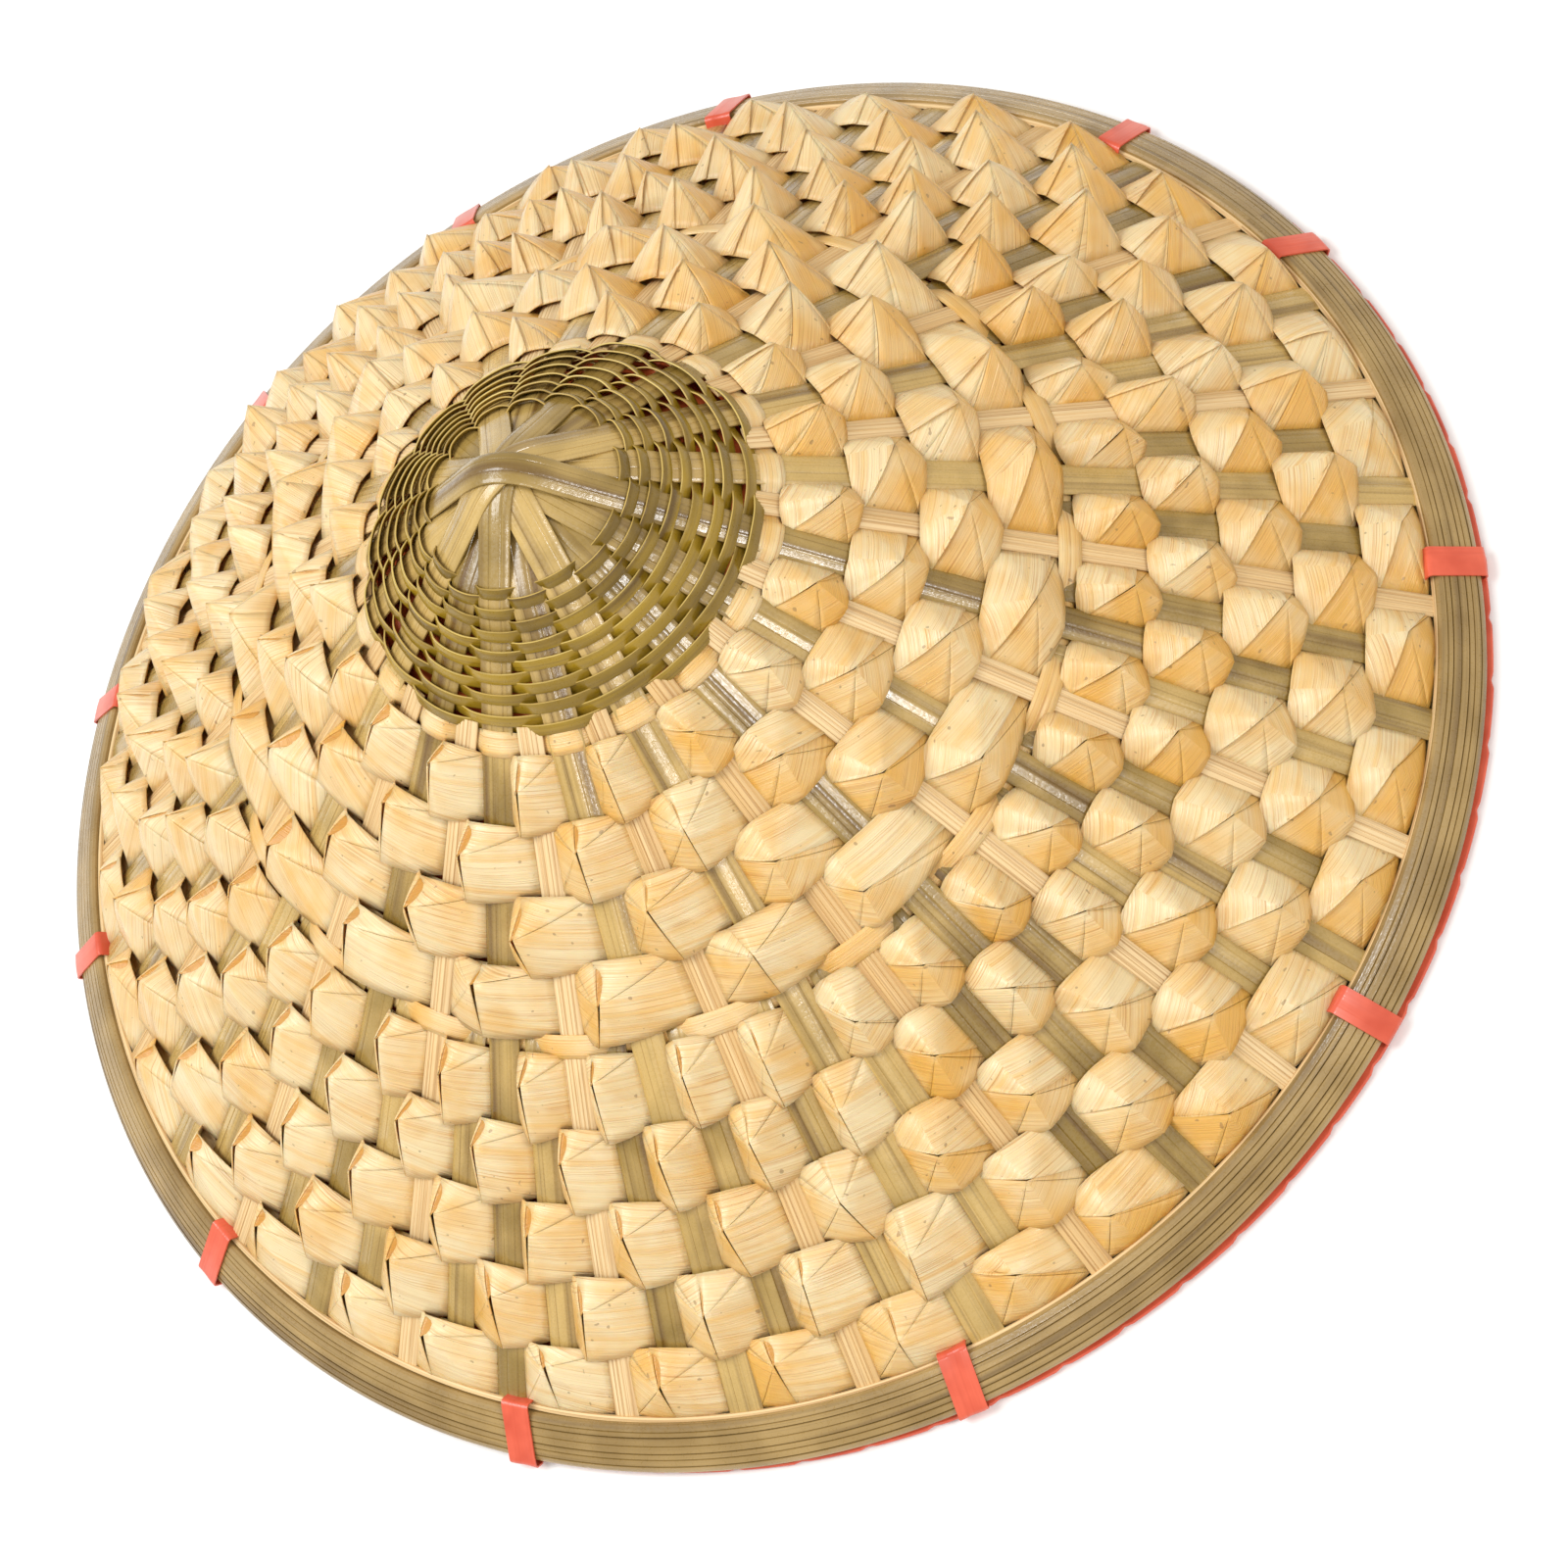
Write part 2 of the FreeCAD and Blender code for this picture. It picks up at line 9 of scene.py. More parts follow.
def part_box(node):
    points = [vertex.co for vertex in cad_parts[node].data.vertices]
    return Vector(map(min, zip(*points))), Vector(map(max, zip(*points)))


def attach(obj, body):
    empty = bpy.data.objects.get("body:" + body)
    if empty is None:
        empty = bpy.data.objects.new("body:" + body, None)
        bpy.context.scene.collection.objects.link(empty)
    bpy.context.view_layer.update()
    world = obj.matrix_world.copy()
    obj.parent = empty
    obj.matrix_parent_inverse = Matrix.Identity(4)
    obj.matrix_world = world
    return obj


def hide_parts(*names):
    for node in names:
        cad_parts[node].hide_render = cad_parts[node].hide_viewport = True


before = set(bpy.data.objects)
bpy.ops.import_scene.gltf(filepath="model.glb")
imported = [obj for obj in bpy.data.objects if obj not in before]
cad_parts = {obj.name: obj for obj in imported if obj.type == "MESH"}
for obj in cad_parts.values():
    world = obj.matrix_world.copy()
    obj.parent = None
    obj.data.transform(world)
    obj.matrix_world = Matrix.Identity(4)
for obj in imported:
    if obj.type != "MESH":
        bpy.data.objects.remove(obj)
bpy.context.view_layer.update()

# A conical hat: split-bamboo stakes, a woven crown, rows of folded leaf strip, a grooved rim and a red
# lining. Lengths are in metres. A place on the hat is (slant, bearing, lift): the slant distance down from
# the cone's tip, the bearing round the axis in degrees, and the lift off the upper face of the stakes.

MM = 0.001

# -------- driving dimensions: the rim's place is the frame's

SLOPE = math.radians(36.5)
RIM_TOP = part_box("upper_rim_hoop")[1]
UPPER_HOOP_THICK = 2.8 * MM
HOOP_GAP = 0.1 * MM
HOOP_TOP = HOOP_GAP + UPPER_HOOP_THICK
HOOP_EDGE_DROP = 0.45 * MM
EDGE_SLANT = (RIM_TOP[0] - (HOOP_TOP - HOOP_EDGE_DROP) * math.sin(SLOPE)) / math.cos(SLOPE)
HOOP_WIDTH = 13.4 * MM
HOOP_INNER = EDGE_SLANT - HOOP_WIDTH
STAKE_THICK = 0.7 * MM
TIP_HEIGHT = RIM_TOP[2] + HOOP_INNER * math.sin(SLOPE) - HOOP_TOP * math.cos(SLOPE)

# green stakes are spread a little unevenly: turned by LEAN_ANGLE degrees at LEAN_SIDE, and back opposite it
STAKES = 18
FIRST_BEARING = 13.7
LEAN_ANGLE = 3.0
LEAN_SIDE = 165.0
GREEN_WIDTH = 8.6 * MM
PALE_WIDTH = 6.4 * MM
ADDED_WIDTH = 8.2 * MM
STAKE_END = EDGE_SLANT - 1.5 * MM

# slants of the binding rings, and of the heads of the stakes that start under them
INNER_RING = 69.6 * MM
OUTER_RING = 146.0 * MM
PALE_START = INNER_RING - 4.6 * MM
ADDED_START = OUTER_RING - 3.5 * MM

# the slack side of the rim: the wrap bulges out there, and the pale edge strip slips under the upper hoop
SLACK_BEARING = 308.0

GRAIN_UNIT = 10 * MM
WELD_DISTANCE = 0.00001


def on_cone(slant, bearing, lift):
    """Points on the cone as an array of XYZ. Any of the three may be an array."""
    slant, bearing, lift = np.broadcast_arrays(slant, np.radians(bearing), lift)
    radius = slant * math.cos(SLOPE) + lift * math.sin(SLOPE)
    height = TIP_HEIGHT - slant * math.sin(SLOPE) + lift * math.cos(SLOPE)
    return np.stack([radius * np.cos(bearing), radius * np.sin(bearing), height], axis=-1)


def stake_bearing(index):
    """Bearing of a green stake. Pale ones are at index + 0.5, added ones at index + 0.25 and + 0.75."""
    even = FIRST_BEARING + np.asarray(index) * 360.0 / STAKES
    return even + LEAN_ANGLE * np.cos(np.radians(even - LEAN_SIDE))


def stake_width(index):
    quarter = round(index * 4) % 4
    return {0: GREEN_WIDTH, 2: PALE_WIDTH}.get(quarter, ADDED_WIDTH)


def linear(red, green, blue):
    """A display colour, 0 to 255, as the linear RGBA that shaders take."""
    parts = [value / 255 for value in (red, green, blue)]
    return tuple(v / 12.92 if v <= 0.04045 else ((v + 0.055) / 1.055) ** 2.4 for v in parts) + (1.0,)


def random_source(seed):
    """A seeded source of its own for each piece, so that a change in one leaves the others as they are."""
    return np.random.default_rng(seed)


def ripple(source, size, shortest, longest, count):
    """A slow wave of random length, in radians, and phase: for what isn't quite straight."""
    return size * np.sin(np.linspace(0, source.uniform(shortest, longest), count) + source.uniform(0, 6))


# -------- mesh building


def lengths_along(points, closed=False):
    """Running length at each point of a line. closed adds the length on coming back to the first point."""
    steps = np.linalg.norm(np.diff(points, axis=0), axis=1)
    lengths = np.concatenate([[0.0], np.cumsum(steps)])
    if closed:
        lengths = np.append(lengths, lengths[-1] + np.linalg.norm(points[0] - points[-1]))
    return lengths


def grain_of(along, across):
    """Grain coordinates, from distances in metres along and across a strip's grain. Both may be arrays."""
    return np.stack(np.broadcast_arrays(along, across), axis=-1) / GRAIN_UNIT


def stepped_grain(points, along, across):
    """Grain coordinates that grow by the same step from row to row and from column to column."""
    rows, columns = points.shape[:2]
    return np.stack(np.meshgrid(np.arange(rows) * along, np.arange(columns) * across, indexing="ij"), axis=-1)


def closed_both_ways(points):
    """Repeats a grid's first row and first column at its end."""
    points = np.concatenate([points, points[:1]])
    return np.concatenate([points, points[:, :1]], axis=1)


class Patchwork:
    """Gathers grids of quads into one mesh. Each has grain coordinates, and a tone: 0 is light and 1 dark."""

    def __init__(self):
        self.points, self.faces, self.grain, self.tones = [], [], [], []
        self.count = 0

    def grid(self, points, grain, tone, wrap=False, flip=False):
        """points is rows x columns x 3, grain is rows x columns x 2, and wrap joins last column to first."""
        rows, columns = points.shape[:2]
        index = self.count + np.arange(rows * columns).reshape(rows, columns)
        across = np.arange(columns if wrap else columns - 1)
        following = (across + 1) % columns
        above, below = index[:-1], index[1:]
        corners = np.stack([
            above[:, across], below[:, across], below[:, following], above[:, following]], axis=-1)
        if flip:
            corners = corners[..., ::-1]
        corners = corners.reshape(-1, 4)
        self.points.append(points.reshape(-1, 3))
        self.faces.append(corners)
        self.grain.append(grain.reshape(-1, 2)[corners - self.count].reshape(-1, 2))
        self.tones.append(np.full(len(corners), tone))
        self.count += rows * columns

    def build(self, name, materials, sharp_angle=None):
        points = np.concatenate(self.points)
        faces = np.concatenate(self.faces)
        mesh = bpy.data.meshes.new(name)
        mesh.vertices.add(len(points))
        mesh.vertices.foreach_set("co", points.ravel())
        mesh.loops.add(faces.size)
        mesh.loops.foreach_set("vertex_index", faces.ravel())
        mesh.polygons.add(len(faces))
        mesh.polygons.foreach_set("loop_start", np.arange(len(faces)) * 4)
        layer = mesh.uv_layers.new(name="grain")
        layer.data.foreach_set("uv", np.concatenate(self.grain).ravel())
        tone = mesh.attributes.new("tone", "FLOAT", "FACE")
        tone.data.foreach_set("value", np.concatenate(self.tones))
        mesh.update(calc_edges=True)
        mesh.validate()
        weld(mesh)
        mesh.shade_smooth()
        if sharp_angle is not None:
            mesh.set_sharp_from_angle(angle=math.radians(sharp_angle))
        for material in materials:
            mesh.materials.append(material)
        piece = bpy.data.objects.new(name, mesh)
        bpy.context.collection.objects.link(piece)
        return piece


def weld(mesh):
    """Joins points that lie on each other and drops faces that have no area."""
    work = bmesh.new()
    work.from_mesh(mesh)
    bmesh.ops.remove_doubles(work, verts=work.verts, dist=WELD_DISTANCE)
    bmesh.ops.dissolve_degenerate(work, edges=work.edges, dist=WELD_DISTANCE)
    work.to_mesh(mesh)
    work.free()


def thicken(piece, thickness, offset=-1.0):
    """Gives a one-sided sheet its thickness: inwards, or half to each side with offset 0."""
    modifier = piece.modifiers.new("thickness", "SOLIDIFY")
    modifier.thickness = thickness
    modifier.offset = offset
    return piece


def place(piece, slot, *nodes):
    """The piece rides the one body and stands for these CAD nodes, which it hides. slot is not used."""
    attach(piece, "root")
    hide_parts(*nodes)


def unit(vectors):
    return vectors / np.maximum(np.linalg.norm(vectors, axis=-1, keepdims=True), 1e-12)


def sweep(work, path, side, normal, section, tone, closed_path=False, grain_offset=0.0, roll=None):
    """Carries a closed section along a path. The section's points are (across, out), in metres.

    side and normal are unit vectors at each point of the path, and roll turns them, in radians.
    """
    if roll is not None:
        cos, sin = np.cos(roll)[:, None], np.sin(roll)[:, None]
        side, normal = side * cos + normal * sin, normal * cos - side * sin
    points = path[:, None] + side[:, None] * section[:, :1] + normal[:, None] * section[:, 1:]
    if closed_path:
        points = np.concatenate([points, points[:1]])
    # the outline is closed by repeating its first point, so that the grain runs on without a jump
    points = np.concatenate([points, points[:, :1]], axis=1)
    length, around = lengths_along(path, closed_path), lengths_along(section, closed=True)
    grain = grain_of(length[:, None], around) + np.array([grain_offset, grain_offset * 7.3])
    work.grid(points, grain, tone)
    if not closed_path:
        for end, flip in ((0, True), (-1, False)):
            ring = points[end]
            middle = np.broadcast_to(ring[:-1].mean(axis=0), ring.shape)
            cap = np.stack([ring, middle])
            work.grid(cap, np.broadcast_to(grain[end], cap.shape[:2] + (2,)), tone, flip=flip)


# -------- materials


class Shader:
    """A material under construction: adds nodes and links them by name."""

    def __init__(self, name):
        self.material = bpy.data.materials.new(name)
        self.material.use_nodes = True
        self.tree = self.material.node_tree
        self.surface = self.tree.nodes["Principled BSDF"]

    def node(self, kind, **inputs):
        """Adds a node. An input is named with _ for a space, or numbered as _0, _1 and so on."""
        made = self.tree.nodes.new(kind)
        for name, value in inputs.items():
            key = int(name[1:]) if name[0] == "_" else name.replace("_", " ")
            self.feed(made.inputs[key], value)
        return made

    def feed(self, socket, value):
        if isinstance(value, bpy.types.NodeSocket):
            self.tree.links.new(value, socket)
        else:
            socket.default_value = value

    def math(self, operation, first, second=0.0, clamp=False):
        made = self.node("ShaderNodeMath", _0=first, _1=second)
        made.operation = operation
        made.use_clamp = clamp
        return made.outputs[0]

    def mix(self, factor, first, second):
        """Blends two colours, whose sockets on the node are 6 and 7."""
        made = self.tree.nodes.new("ShaderNodeMix")
        made.data_type = "RGBA"
        for key, value in ((0, factor), (6, first), (7, second)):
            self.feed(made.inputs[key], value)
        return made.outputs[2]

    def grain(self, along, across, detail=2.0, roughness=0.5):
        """Noise drawn out along the grain. along and across are features per 10 mm."""
        place_on = self.tree.nodes.new("ShaderNodeUVMap")
        place_on.uv_map = "grain"
        scaled = self.node("ShaderNodeMapping", Vector=place_on.outputs[0], Scale=(along, across, 1.0))
        noise = self.node(
            "ShaderNodeTexNoise", Vector=scaled.outputs[0], Scale=1.0, Detail=detail, Roughness=roughness)
        return noise.outputs["Fac"]

    def cloud(self, size, detail=2.0):
        """Noise in space with features of about this size, in metres."""
        spot = self.tree.nodes.new("ShaderNodeTexCoord")
        noise = self.node("ShaderNodeTexNoise", Vector=spot.outputs["Object"], Scale=1 / size, Detail=detail)
        return noise.outputs["Fac"]

    def tone(self):
        made = self.tree.nodes.new("ShaderNodeAttribute")
        made.attribute_name = "tone"
        return made.outputs["Fac"]

    def span(self, value, low, high, to_low=0.0, to_high=1.0):
        made = self.node(
            "ShaderNodeMapRange", Value=value, From_Min=low, From_Max=high, To_Min=to_low, To_Max=to_high)
        return made.outputs[0]

    def finish(self, colour, roughness, height=None, bump=0.0, bump_size=0.3 * MM, **settings):
        self.feed(self.surface.inputs["Base Color"], colour)
        self.feed(self.surface.inputs["Roughness"], roughness)
        for name, value in settings.items():
            self.feed(self.surface.inputs[name.replace("_", " ")], value)
        if height is not None:
            made = self.node("ShaderNodeBump", Height=height, Strength=bump, Distance=bump_size)
            self.feed(self.surface.inputs["Normal"], made.outputs[0])
            self.feed(self.surface.inputs["Coat Normal"], made.outputs[0])
        return self.material


def leaf_material(name, light, warm, line, slit_shade):
    """Dried leaf: straw yellow with fine lengthwise veins, golden patches and small brown specks.

    A tone between 1 and 2 is painted shade: the deep orange-brown of the shaded slit along a fold.
    """
    make = Shader(name)
    veins = make.grain(0.022, 25.0, roughness=0.75)
    fine = make.grain(0.10, 42.0)
    broad = make.grain(0.05, 4.0)
    patch = make.cloud(14 * MM)
    strength = make.span(make.cloud(9 * MM), 0.38, 0.62, 0.3, 1.0)
    tone = make.tone()
    even = make.math("MINIMUM", tone, 1.0)
    # the tone blends towards warm: random, plus painted shade on the peaks' lower layers and painted light on
    # their upper layers
    warmth = make.math("ADD", even, make.span(patch, 0.35, 0.7, -0.3, 0.45), clamp=True)
    colour = make.mix(warmth, light, warm)
    lines = make.math("MULTIPLY", make.span(veins, 0.50, 0.70, 0.0, 0.8), strength)
    colour = make.mix(lines, colour, line)
    colour = make.mix(make.span(fine, 0.55, 0.75, 0.0, 0.35), colour, line)
    colour = make.mix(make.span(broad, 0.5, 0.75, 0.0, 0.6), colour, warm)
    speck = make.cloud(1.6 * MM, detail=0.0)
    colour = make.mix(make.span(speck, 0.81, 0.84, 0.0, 0.5), colour, linear(110, 78, 40))
    # a tone from 1 to 2 blends to the painted shade of the slit
    colour = make.mix(make.span(tone, 1.0, 2.0), colour, slit_shade)
    height = make.math("ADD", make.math("MULTIPLY", fine, 0.6), veins)
    return make.finish(
        colour, make.span(veins, 0.35, 0.65, 0.25, 0.48), height, 0.8,
        Specular_IOR_Level=0.6, Coat_Weight=0.25, Coat_Roughness=0.2,
        Subsurface_Weight=0.25, Subsurface_Scale=1.2 * MM, Subsurface_Radius=(1.0, 0.6, 0.25))


def bamboo_material(name, light, dark, streak, roughness=0.3, frost=0.5, coat=0.3):
    """The outer skin of split bamboo: glossy, with lengthwise streaks and a fine frosting of wax."""
    make = Shader(name)
    fine = make.grain(0.10, 14.0, detail=3.0, roughness=0.6)
    broad = make.grain(0.05, 2.4)
    patch = make.cloud(18 * MM)
    mottle = make.cloud(0.9 * MM, detail=3.0)
    blend = make.math("ADD", make.tone(), make.span(patch, 0.35, 0.65, -0.35, 0.35), clamp=True)
    colour = make.mix(blend, light, dark)
    colour = make.mix(make.span(broad, 0.52, 0.72, 0.0, 0.8), colour, streak)
    colour = make.mix(make.span(fine, 0.54, 0.72, 0.0, 0.4), colour, streak)
    height = make.math("ADD", make.math("MULTIPLY", fine, 0.6), make.math("MULTIPLY", mottle, frost))
    return make.finish(
        colour, make.span(mottle, 0.35, 0.65, roughness - 0.08, roughness + 0.16), height, 0.45, 0.25 * MM,
        Specular_IOR_Level=0.6, Coat_Weight=coat, Coat_Roughness=0.12)


def pale_material(name, light, dark, line):
    """The inner wood of bamboo: pale, matt, with strong lengthwise lines."""
    make = Shader(name)
    fine = make.grain(0.08, 16.0, detail=3.0, roughness=0.65)
    broad = make.grain(0.05, 4.0, detail=1.0)
    blend = make.math("ADD", make.tone(), make.span(broad, 0.3, 0.7, -0.3, 0.3), clamp=True)
    colour = make.mix(blend, light, dark)
    colour = make.mix(make.span(fine, 0.5, 0.66, 0.0, 0.8), colour, line)
    height = make.math("ADD", fine, make.math("MULTIPLY", broad, 0.8))
    return make.finish(colour, 0.45, height, 0.8, Specular_IOR_Level=0.4)


def strap_material(name, light, dark, roughness=0.32):
    """Plastic packing strap: an even colour with faint lengthwise ribs."""
    make = Shader(name)
    ribs = make.grain(0.05, 12.0, detail=1.0)
    patch = make.cloud(8 * MM)
    colour = make.mix(make.span(patch, 0.3, 0.7), light, dark)
    colour = make.mix(make.span(ribs, 0.5, 0.7, 0.0, 0.3), colour, dark)
    return make.finish(colour, roughness, ribs, 0.35, 0.2 * MM, Specular_IOR_Level=0.5, Coat_Weight=0.15)


# the leaf's colours: light, warm, vein line, and the painted shade of the slits
LEAF = leaf_material(
    "leaf_strip", linear(234, 210, 164), linear(225, 171, 80), linear(184, 120, 38), linear(184, 118, 38))
GREEN = bamboo_material(
    "green_bamboo", linear(196, 164, 98), linear(136, 109, 46), linear(90, 58, 14),
    roughness=0.26, frost=0.45, coat=0.5)
WEFT = bamboo_material(
    "weft_bamboo", linear(162, 130, 30), linear(116, 90, 14), linear(78, 52, 6),
    roughness=0.34, frost=0.3, coat=0.2)
WEFT_EDGE = pale_material("weft_edge", linear(214, 188, 110), linear(188, 156, 80), linear(136, 106, 48))
PALE = pale_material("pale_bamboo", linear(232, 204, 156), linear(218, 182, 126), linear(176, 132, 82))
RIM = bamboo_material(
    "rim_bamboo", linear(170, 140, 86), linear(132, 104, 54), linear(84, 60, 24), roughness=0.32)
STRAP = strap_material("red_strap", linear(224, 98, 70), linear(202, 78, 52))
LINING = strap_material("red_lining", linear(244, 118, 60), linear(214, 90, 42), roughness=0.45)

# -------- folded leaf rows

LEAF_THICK = 0.38 * MM
# the strip lies this far below the stakes' upper faces where it passes under them, and starts this far
# inside their edges
TUCK = -1.0 * MM
UNDER_STAKE = 0.4 * MM
# peaks round GAPE_BEARING are flat on top and stand open in a slit along their edge towards the tip
GAPE_BEARING = 193.0
GAPE_SPREAD = 74.0
# peaks round TALL_BEARING are tall and sharp, and their veins run up to the apex
TALL_BEARING = 70.0
# the hem's tone, between 1 and 2: painted shade in the slit
SLIT_SHADE_TONE = 1.5
FACET_STEPS = (7, 6)
# two zones of rows: the first row's number and slant, the pitch, the peaks to a green stake, and each row's
# peak height in millimetres
ZONES = (
    (1, 72.4 * MM, 17.8 * MM, 1, (8.5, 9.5, 10.5, 11.5)),
    (5, 148.6 * MM, 19.6 * MM, 2, (11.0, 11.0, 10.5, 10.0, 8.0)))
LAST_ROW = 9


def fan(work, to_world, apex, start, end, arch, tone, grain_angle, offset, bulge, slit=(0.0, 0.0)):
    """One facet of a peak: from its apex out to the edge between start and end.

    Places are (across 0 to 1, down 0 to 1, lift). arch is how far the edge bows, as (down, lift), and bulge
    is how far the facet's middle rises. slit is how far its first and last sides stand off what lies below.
    """
    out, along = (np.linspace(0, 1, steps) for steps in FACET_STEPS)
    rho, turn = np.meshgrid(out, along, indexing="ij")
    apex, start, end = (np.asarray(p, float) for p in (apex, start, end))
    bow = 4 * turn * (1 - turn)
    edge = start + (end - start) * turn[..., None]
    edge = edge + np.stack([0 * bow, arch[0] * bow, arch[1] * bow], axis=-1)
    spots = apex + (edge - apex) * rho[..., None]
    rise = bulge * 4 * rho * (1 - rho)
    rise = rise + np.sin(math.pi * rho) * (slit[0] * (1 - turn) ** 3 + slit[1] * turn ** 3)
    spots[..., 2] += rise
    points, across, down = to_world(spots)
    cos, sin = math.cos(grain_angle), math.sin(grain_angle)
    grain = grain_of(across * cos + down * sin, down * cos - across * sin)
    work.grid(points, grain + offset, tone)


def peak(upper, lower, index, step, start_slant, pitch, height, source, last_row):
    """A hollow peak folded from leaf strip over the stake at index, with its ends under the next ones.

    It has a lower layer, and an upper one that laps over it from the right.
    """
    left_stake, right_stake = index - step, index + step
    left_bearing, right_bearing = stake_bearing(left_stake), stake_bearing(right_stake)
    left_half = stake_width(left_stake) / 2 - UNDER_STAKE
    right_half = stake_width(right_stake) / 2 - UNDER_STAKE
    middle_radius = (start_slant + pitch / 2) * math.cos(SLOPE)
    width = math.radians(right_bearing - left_bearing) * middle_radius - left_half - right_half

    def to_world(spots):
        """Points for these places, and how far across and down they lie on the flat strip, in metres."""
        slant = start_slant + spots[..., 1] * pitch
        radius = slant * math.cos(SLOPE)
        left = left_bearing + np.degrees(left_half / radius)
        right = right_bearing - np.degrees(right_half / radius)
        points = on_cone(slant, left + spots[..., 0] * (right - left), spots[..., 2])
        return points, spots[..., 0] * width, spots[..., 1] * pitch

    # how much this peak gapes and how tall it is, both from 0 to 1
    jitter = source.normal
    bearing = float(stake_bearing(index))
    turn_away = (bearing - GAPE_BEARING + 180) % 360 - 180
    gape = math.exp(-(turn_away / GAPE_SPREAD) ** 2)
    tall = min(max(0.5 + 1.2 * math.cos(math.radians(bearing - TALL_BEARING)), 0), 1)

    # the apex, the brow at the edge towards the tip, and the foot at the edge away from it
    across = np.clip(0.56 + jitter(0, 0.10 - 0.04 * gape) - 0.30 * gape, 0.2, 0.78)
    down = np.clip((0.52 if last_row else 0.60) + jitter(0, 0.065) - 0.36 * gape, 0.14, 0.74)
    top = height * np.clip(1 + jitter(0, 0.12), 0.75, 1.25) * (0.64 + max(0.36 * tall, 0.12 * gape))
    apex = (across, down, top)
    brow_across = np.clip(across - 0.04 - 0.08 * gape + jitter(0, 0.07), 0.14, 0.8)
    brow_down = -0.09 + 0.04 * gape + jitter(0, 0.03)
    brow_lift = (1.2 + 0.8 * gape + abs(jitter(0, 0.5))) * MM
    if last_row:
        foot = (across + jitter(0, 0.05), 0.92, 0.25 * MM)
        low = 0.90
    else:
        foot = (across - 0.04 + jitter(0, 0.06), 1.12 + jitter(0, 0.03), (1.5 + 1.0 * gape) * MM)
        low = 0.95

    # where the layers are folded and lapped along the two sides
    slit_down = 0.16 + jitter(0, 0.05)
    lap_down = np.clip(0.80 + jitter(0, 0.05), 0.68, 0.9)
    lap = (1.0, lap_down, -0.4 * MM)
    left_top, left_low = (0.0, 0.03, TUCK), (0.0, low, TUCK)
    right_top, right_low = (1.0, 0.03, TUCK), (1.0, low, TUCK)
    left_fold, right_fold = (0.0, slit_down, -0.3 * MM), (1.0, lap_down - 0.16, TUCK)
    under = (across + 0.02 - 0.05 * gape, down + 0.02, top - (0.7 - 1.3 * gape) * MM)

    # tones, and the way the veins run in each part. A tone is random; the lower layer's is darkened as
    # painted shade, less where the peak gapes
    tone = source.uniform(0, 0.55)
    tone_with_painted_shade = tone + source.uniform(0.15, 0.5) * (1 - 0.6 * gape)
    offset = source.uniform(-50, 50, 2)
    fold_angle = math.atan2((down - slit_down) * pitch, across * width)
    left_grain = -0.42 + 1.9 * tall + jitter(0, 0.1)
    right_grain = 0.15 + 1.85 * tall * (1 - gape) + gape * min(3 * tall, 1) + jitter(0, 0.1)
    low_grain = source.uniform(-0.75, -0.35)
    flat, low_bow = (0, 0), (0.03, -0.1 * MM)

    # the upper layer's tone is lightened: painted light
    light = tone * 0.6

    def over(first, last, arch, veins, shift, bulge, slit=(0.0, 0.0)):
        fan(upper, to_world, apex, first, last, arch, light, veins, offset + shift, bulge * MM, slit)

    def below(first, last, arch, shade, veins, shift, bulge, slit=(0.0, 0.0)):
        fan(lower, to_world, under, first, last, arch, shade, veins, offset + shift, bulge * MM, slit)

    # lower layer: the left face and the lower left facet
    below(left_low, left_fold, flat, tone_with_painted_shade, fold_angle, 0, 0.2)
    below(foot, left_low, low_bow, tone_with_painted_shade, fold_angle, 0, 0.25)
    brow = (brow_across, brow_down, brow_lift)
    bow = (-0.03, (0.35 + 0.65 * gape) * MM)
    lap_open = max(jitter(0.35, 0.25), 0.05) * MM
    slit_open = max(jitter(0.6, 0.4), 0.1) * MM
    if gape <= 0.5 and tall <= 0.5:
        # the upper layer is the whole side towards the crown: it laps over the left and lower right facets
        raised_fold = (0.0, slit_down + 0.03, -0.1 * MM)
        over(raised_fold, left_top, flat, left_grain, 31, 0.2, (slit_open, 0.0))
        over(left_top, brow, bow, left_grain, 31, 0.2)
        opening = 0.0
    else:
        # the ridge is a slit: the facet left of it ends in a hem under the upper layer, coloured deep
        # orange-brown as painted shade
        ridge_under = (brow_across + 0.10 * (1 - gape), brow_down + 0.02, brow_lift - 0.3 * MM)
        hem = (brow_across + 0.3 * (1 - brow_across), brow_down + 0.06, brow_lift - 0.9 * MM)
        stand = (0.0, 0.4 * gape * MM)
        below(left_top, ridge_under, (-0.03, 0.5 * MM), tone, left_grain, 31, 0.2, stand)
        below(left_fold, left_top, flat, tone, left_grain, 31, 0.15)
        below(ridge_under, hem, flat, SLIT_SHADE_TONE, left_grain, 31, 0.1, stand[::-1])
        opening = (max(jitter(0.45, 0.35), 0.1) * (1 - gape) - max(jitter(1.3, 0.4), 0.6) * gape) * MM
    over(brow, right_top, bow, right_grain, 20, 0.2, (opening, 0.0))
    if gape > 0.5:
        over(right_top, right_low, flat, right_grain, 20, 0.3)
        over(right_low, foot, low_bow, right_grain, 20, 0.3)
    else:
        over(right_top, lap, flat, right_grain, 20, 0.2, (0.0, lap_open))
        # the lower right facets get a little more painted shade
        below(right_low, foot, low_bow, tone_with_painted_shade + 0.1, low_grain, 9, 0.25)
        below(right_fold, right_low, flat, tone_with_painted_shade + 0.1, low_grain, 9, 0.2)


def leaf_band(work, start_slant, pitch, last_row, source):
    """The flat parts of the strip, where it passes under the visible stakes."""
    bearings = np.linspace(0, 360, 181)
    across = np.array([[0.06], [0.5], [0.92 if last_row else 0.93]]) * pitch
    points = on_cone(start_slant + across, bearings, TUCK - 0.3 * MM)
    around = np.radians(bearings) * (start_slant * math.cos(SLOPE))
    work.grid(points, grain_of(around, across), source.uniform(0.3, 0.7))


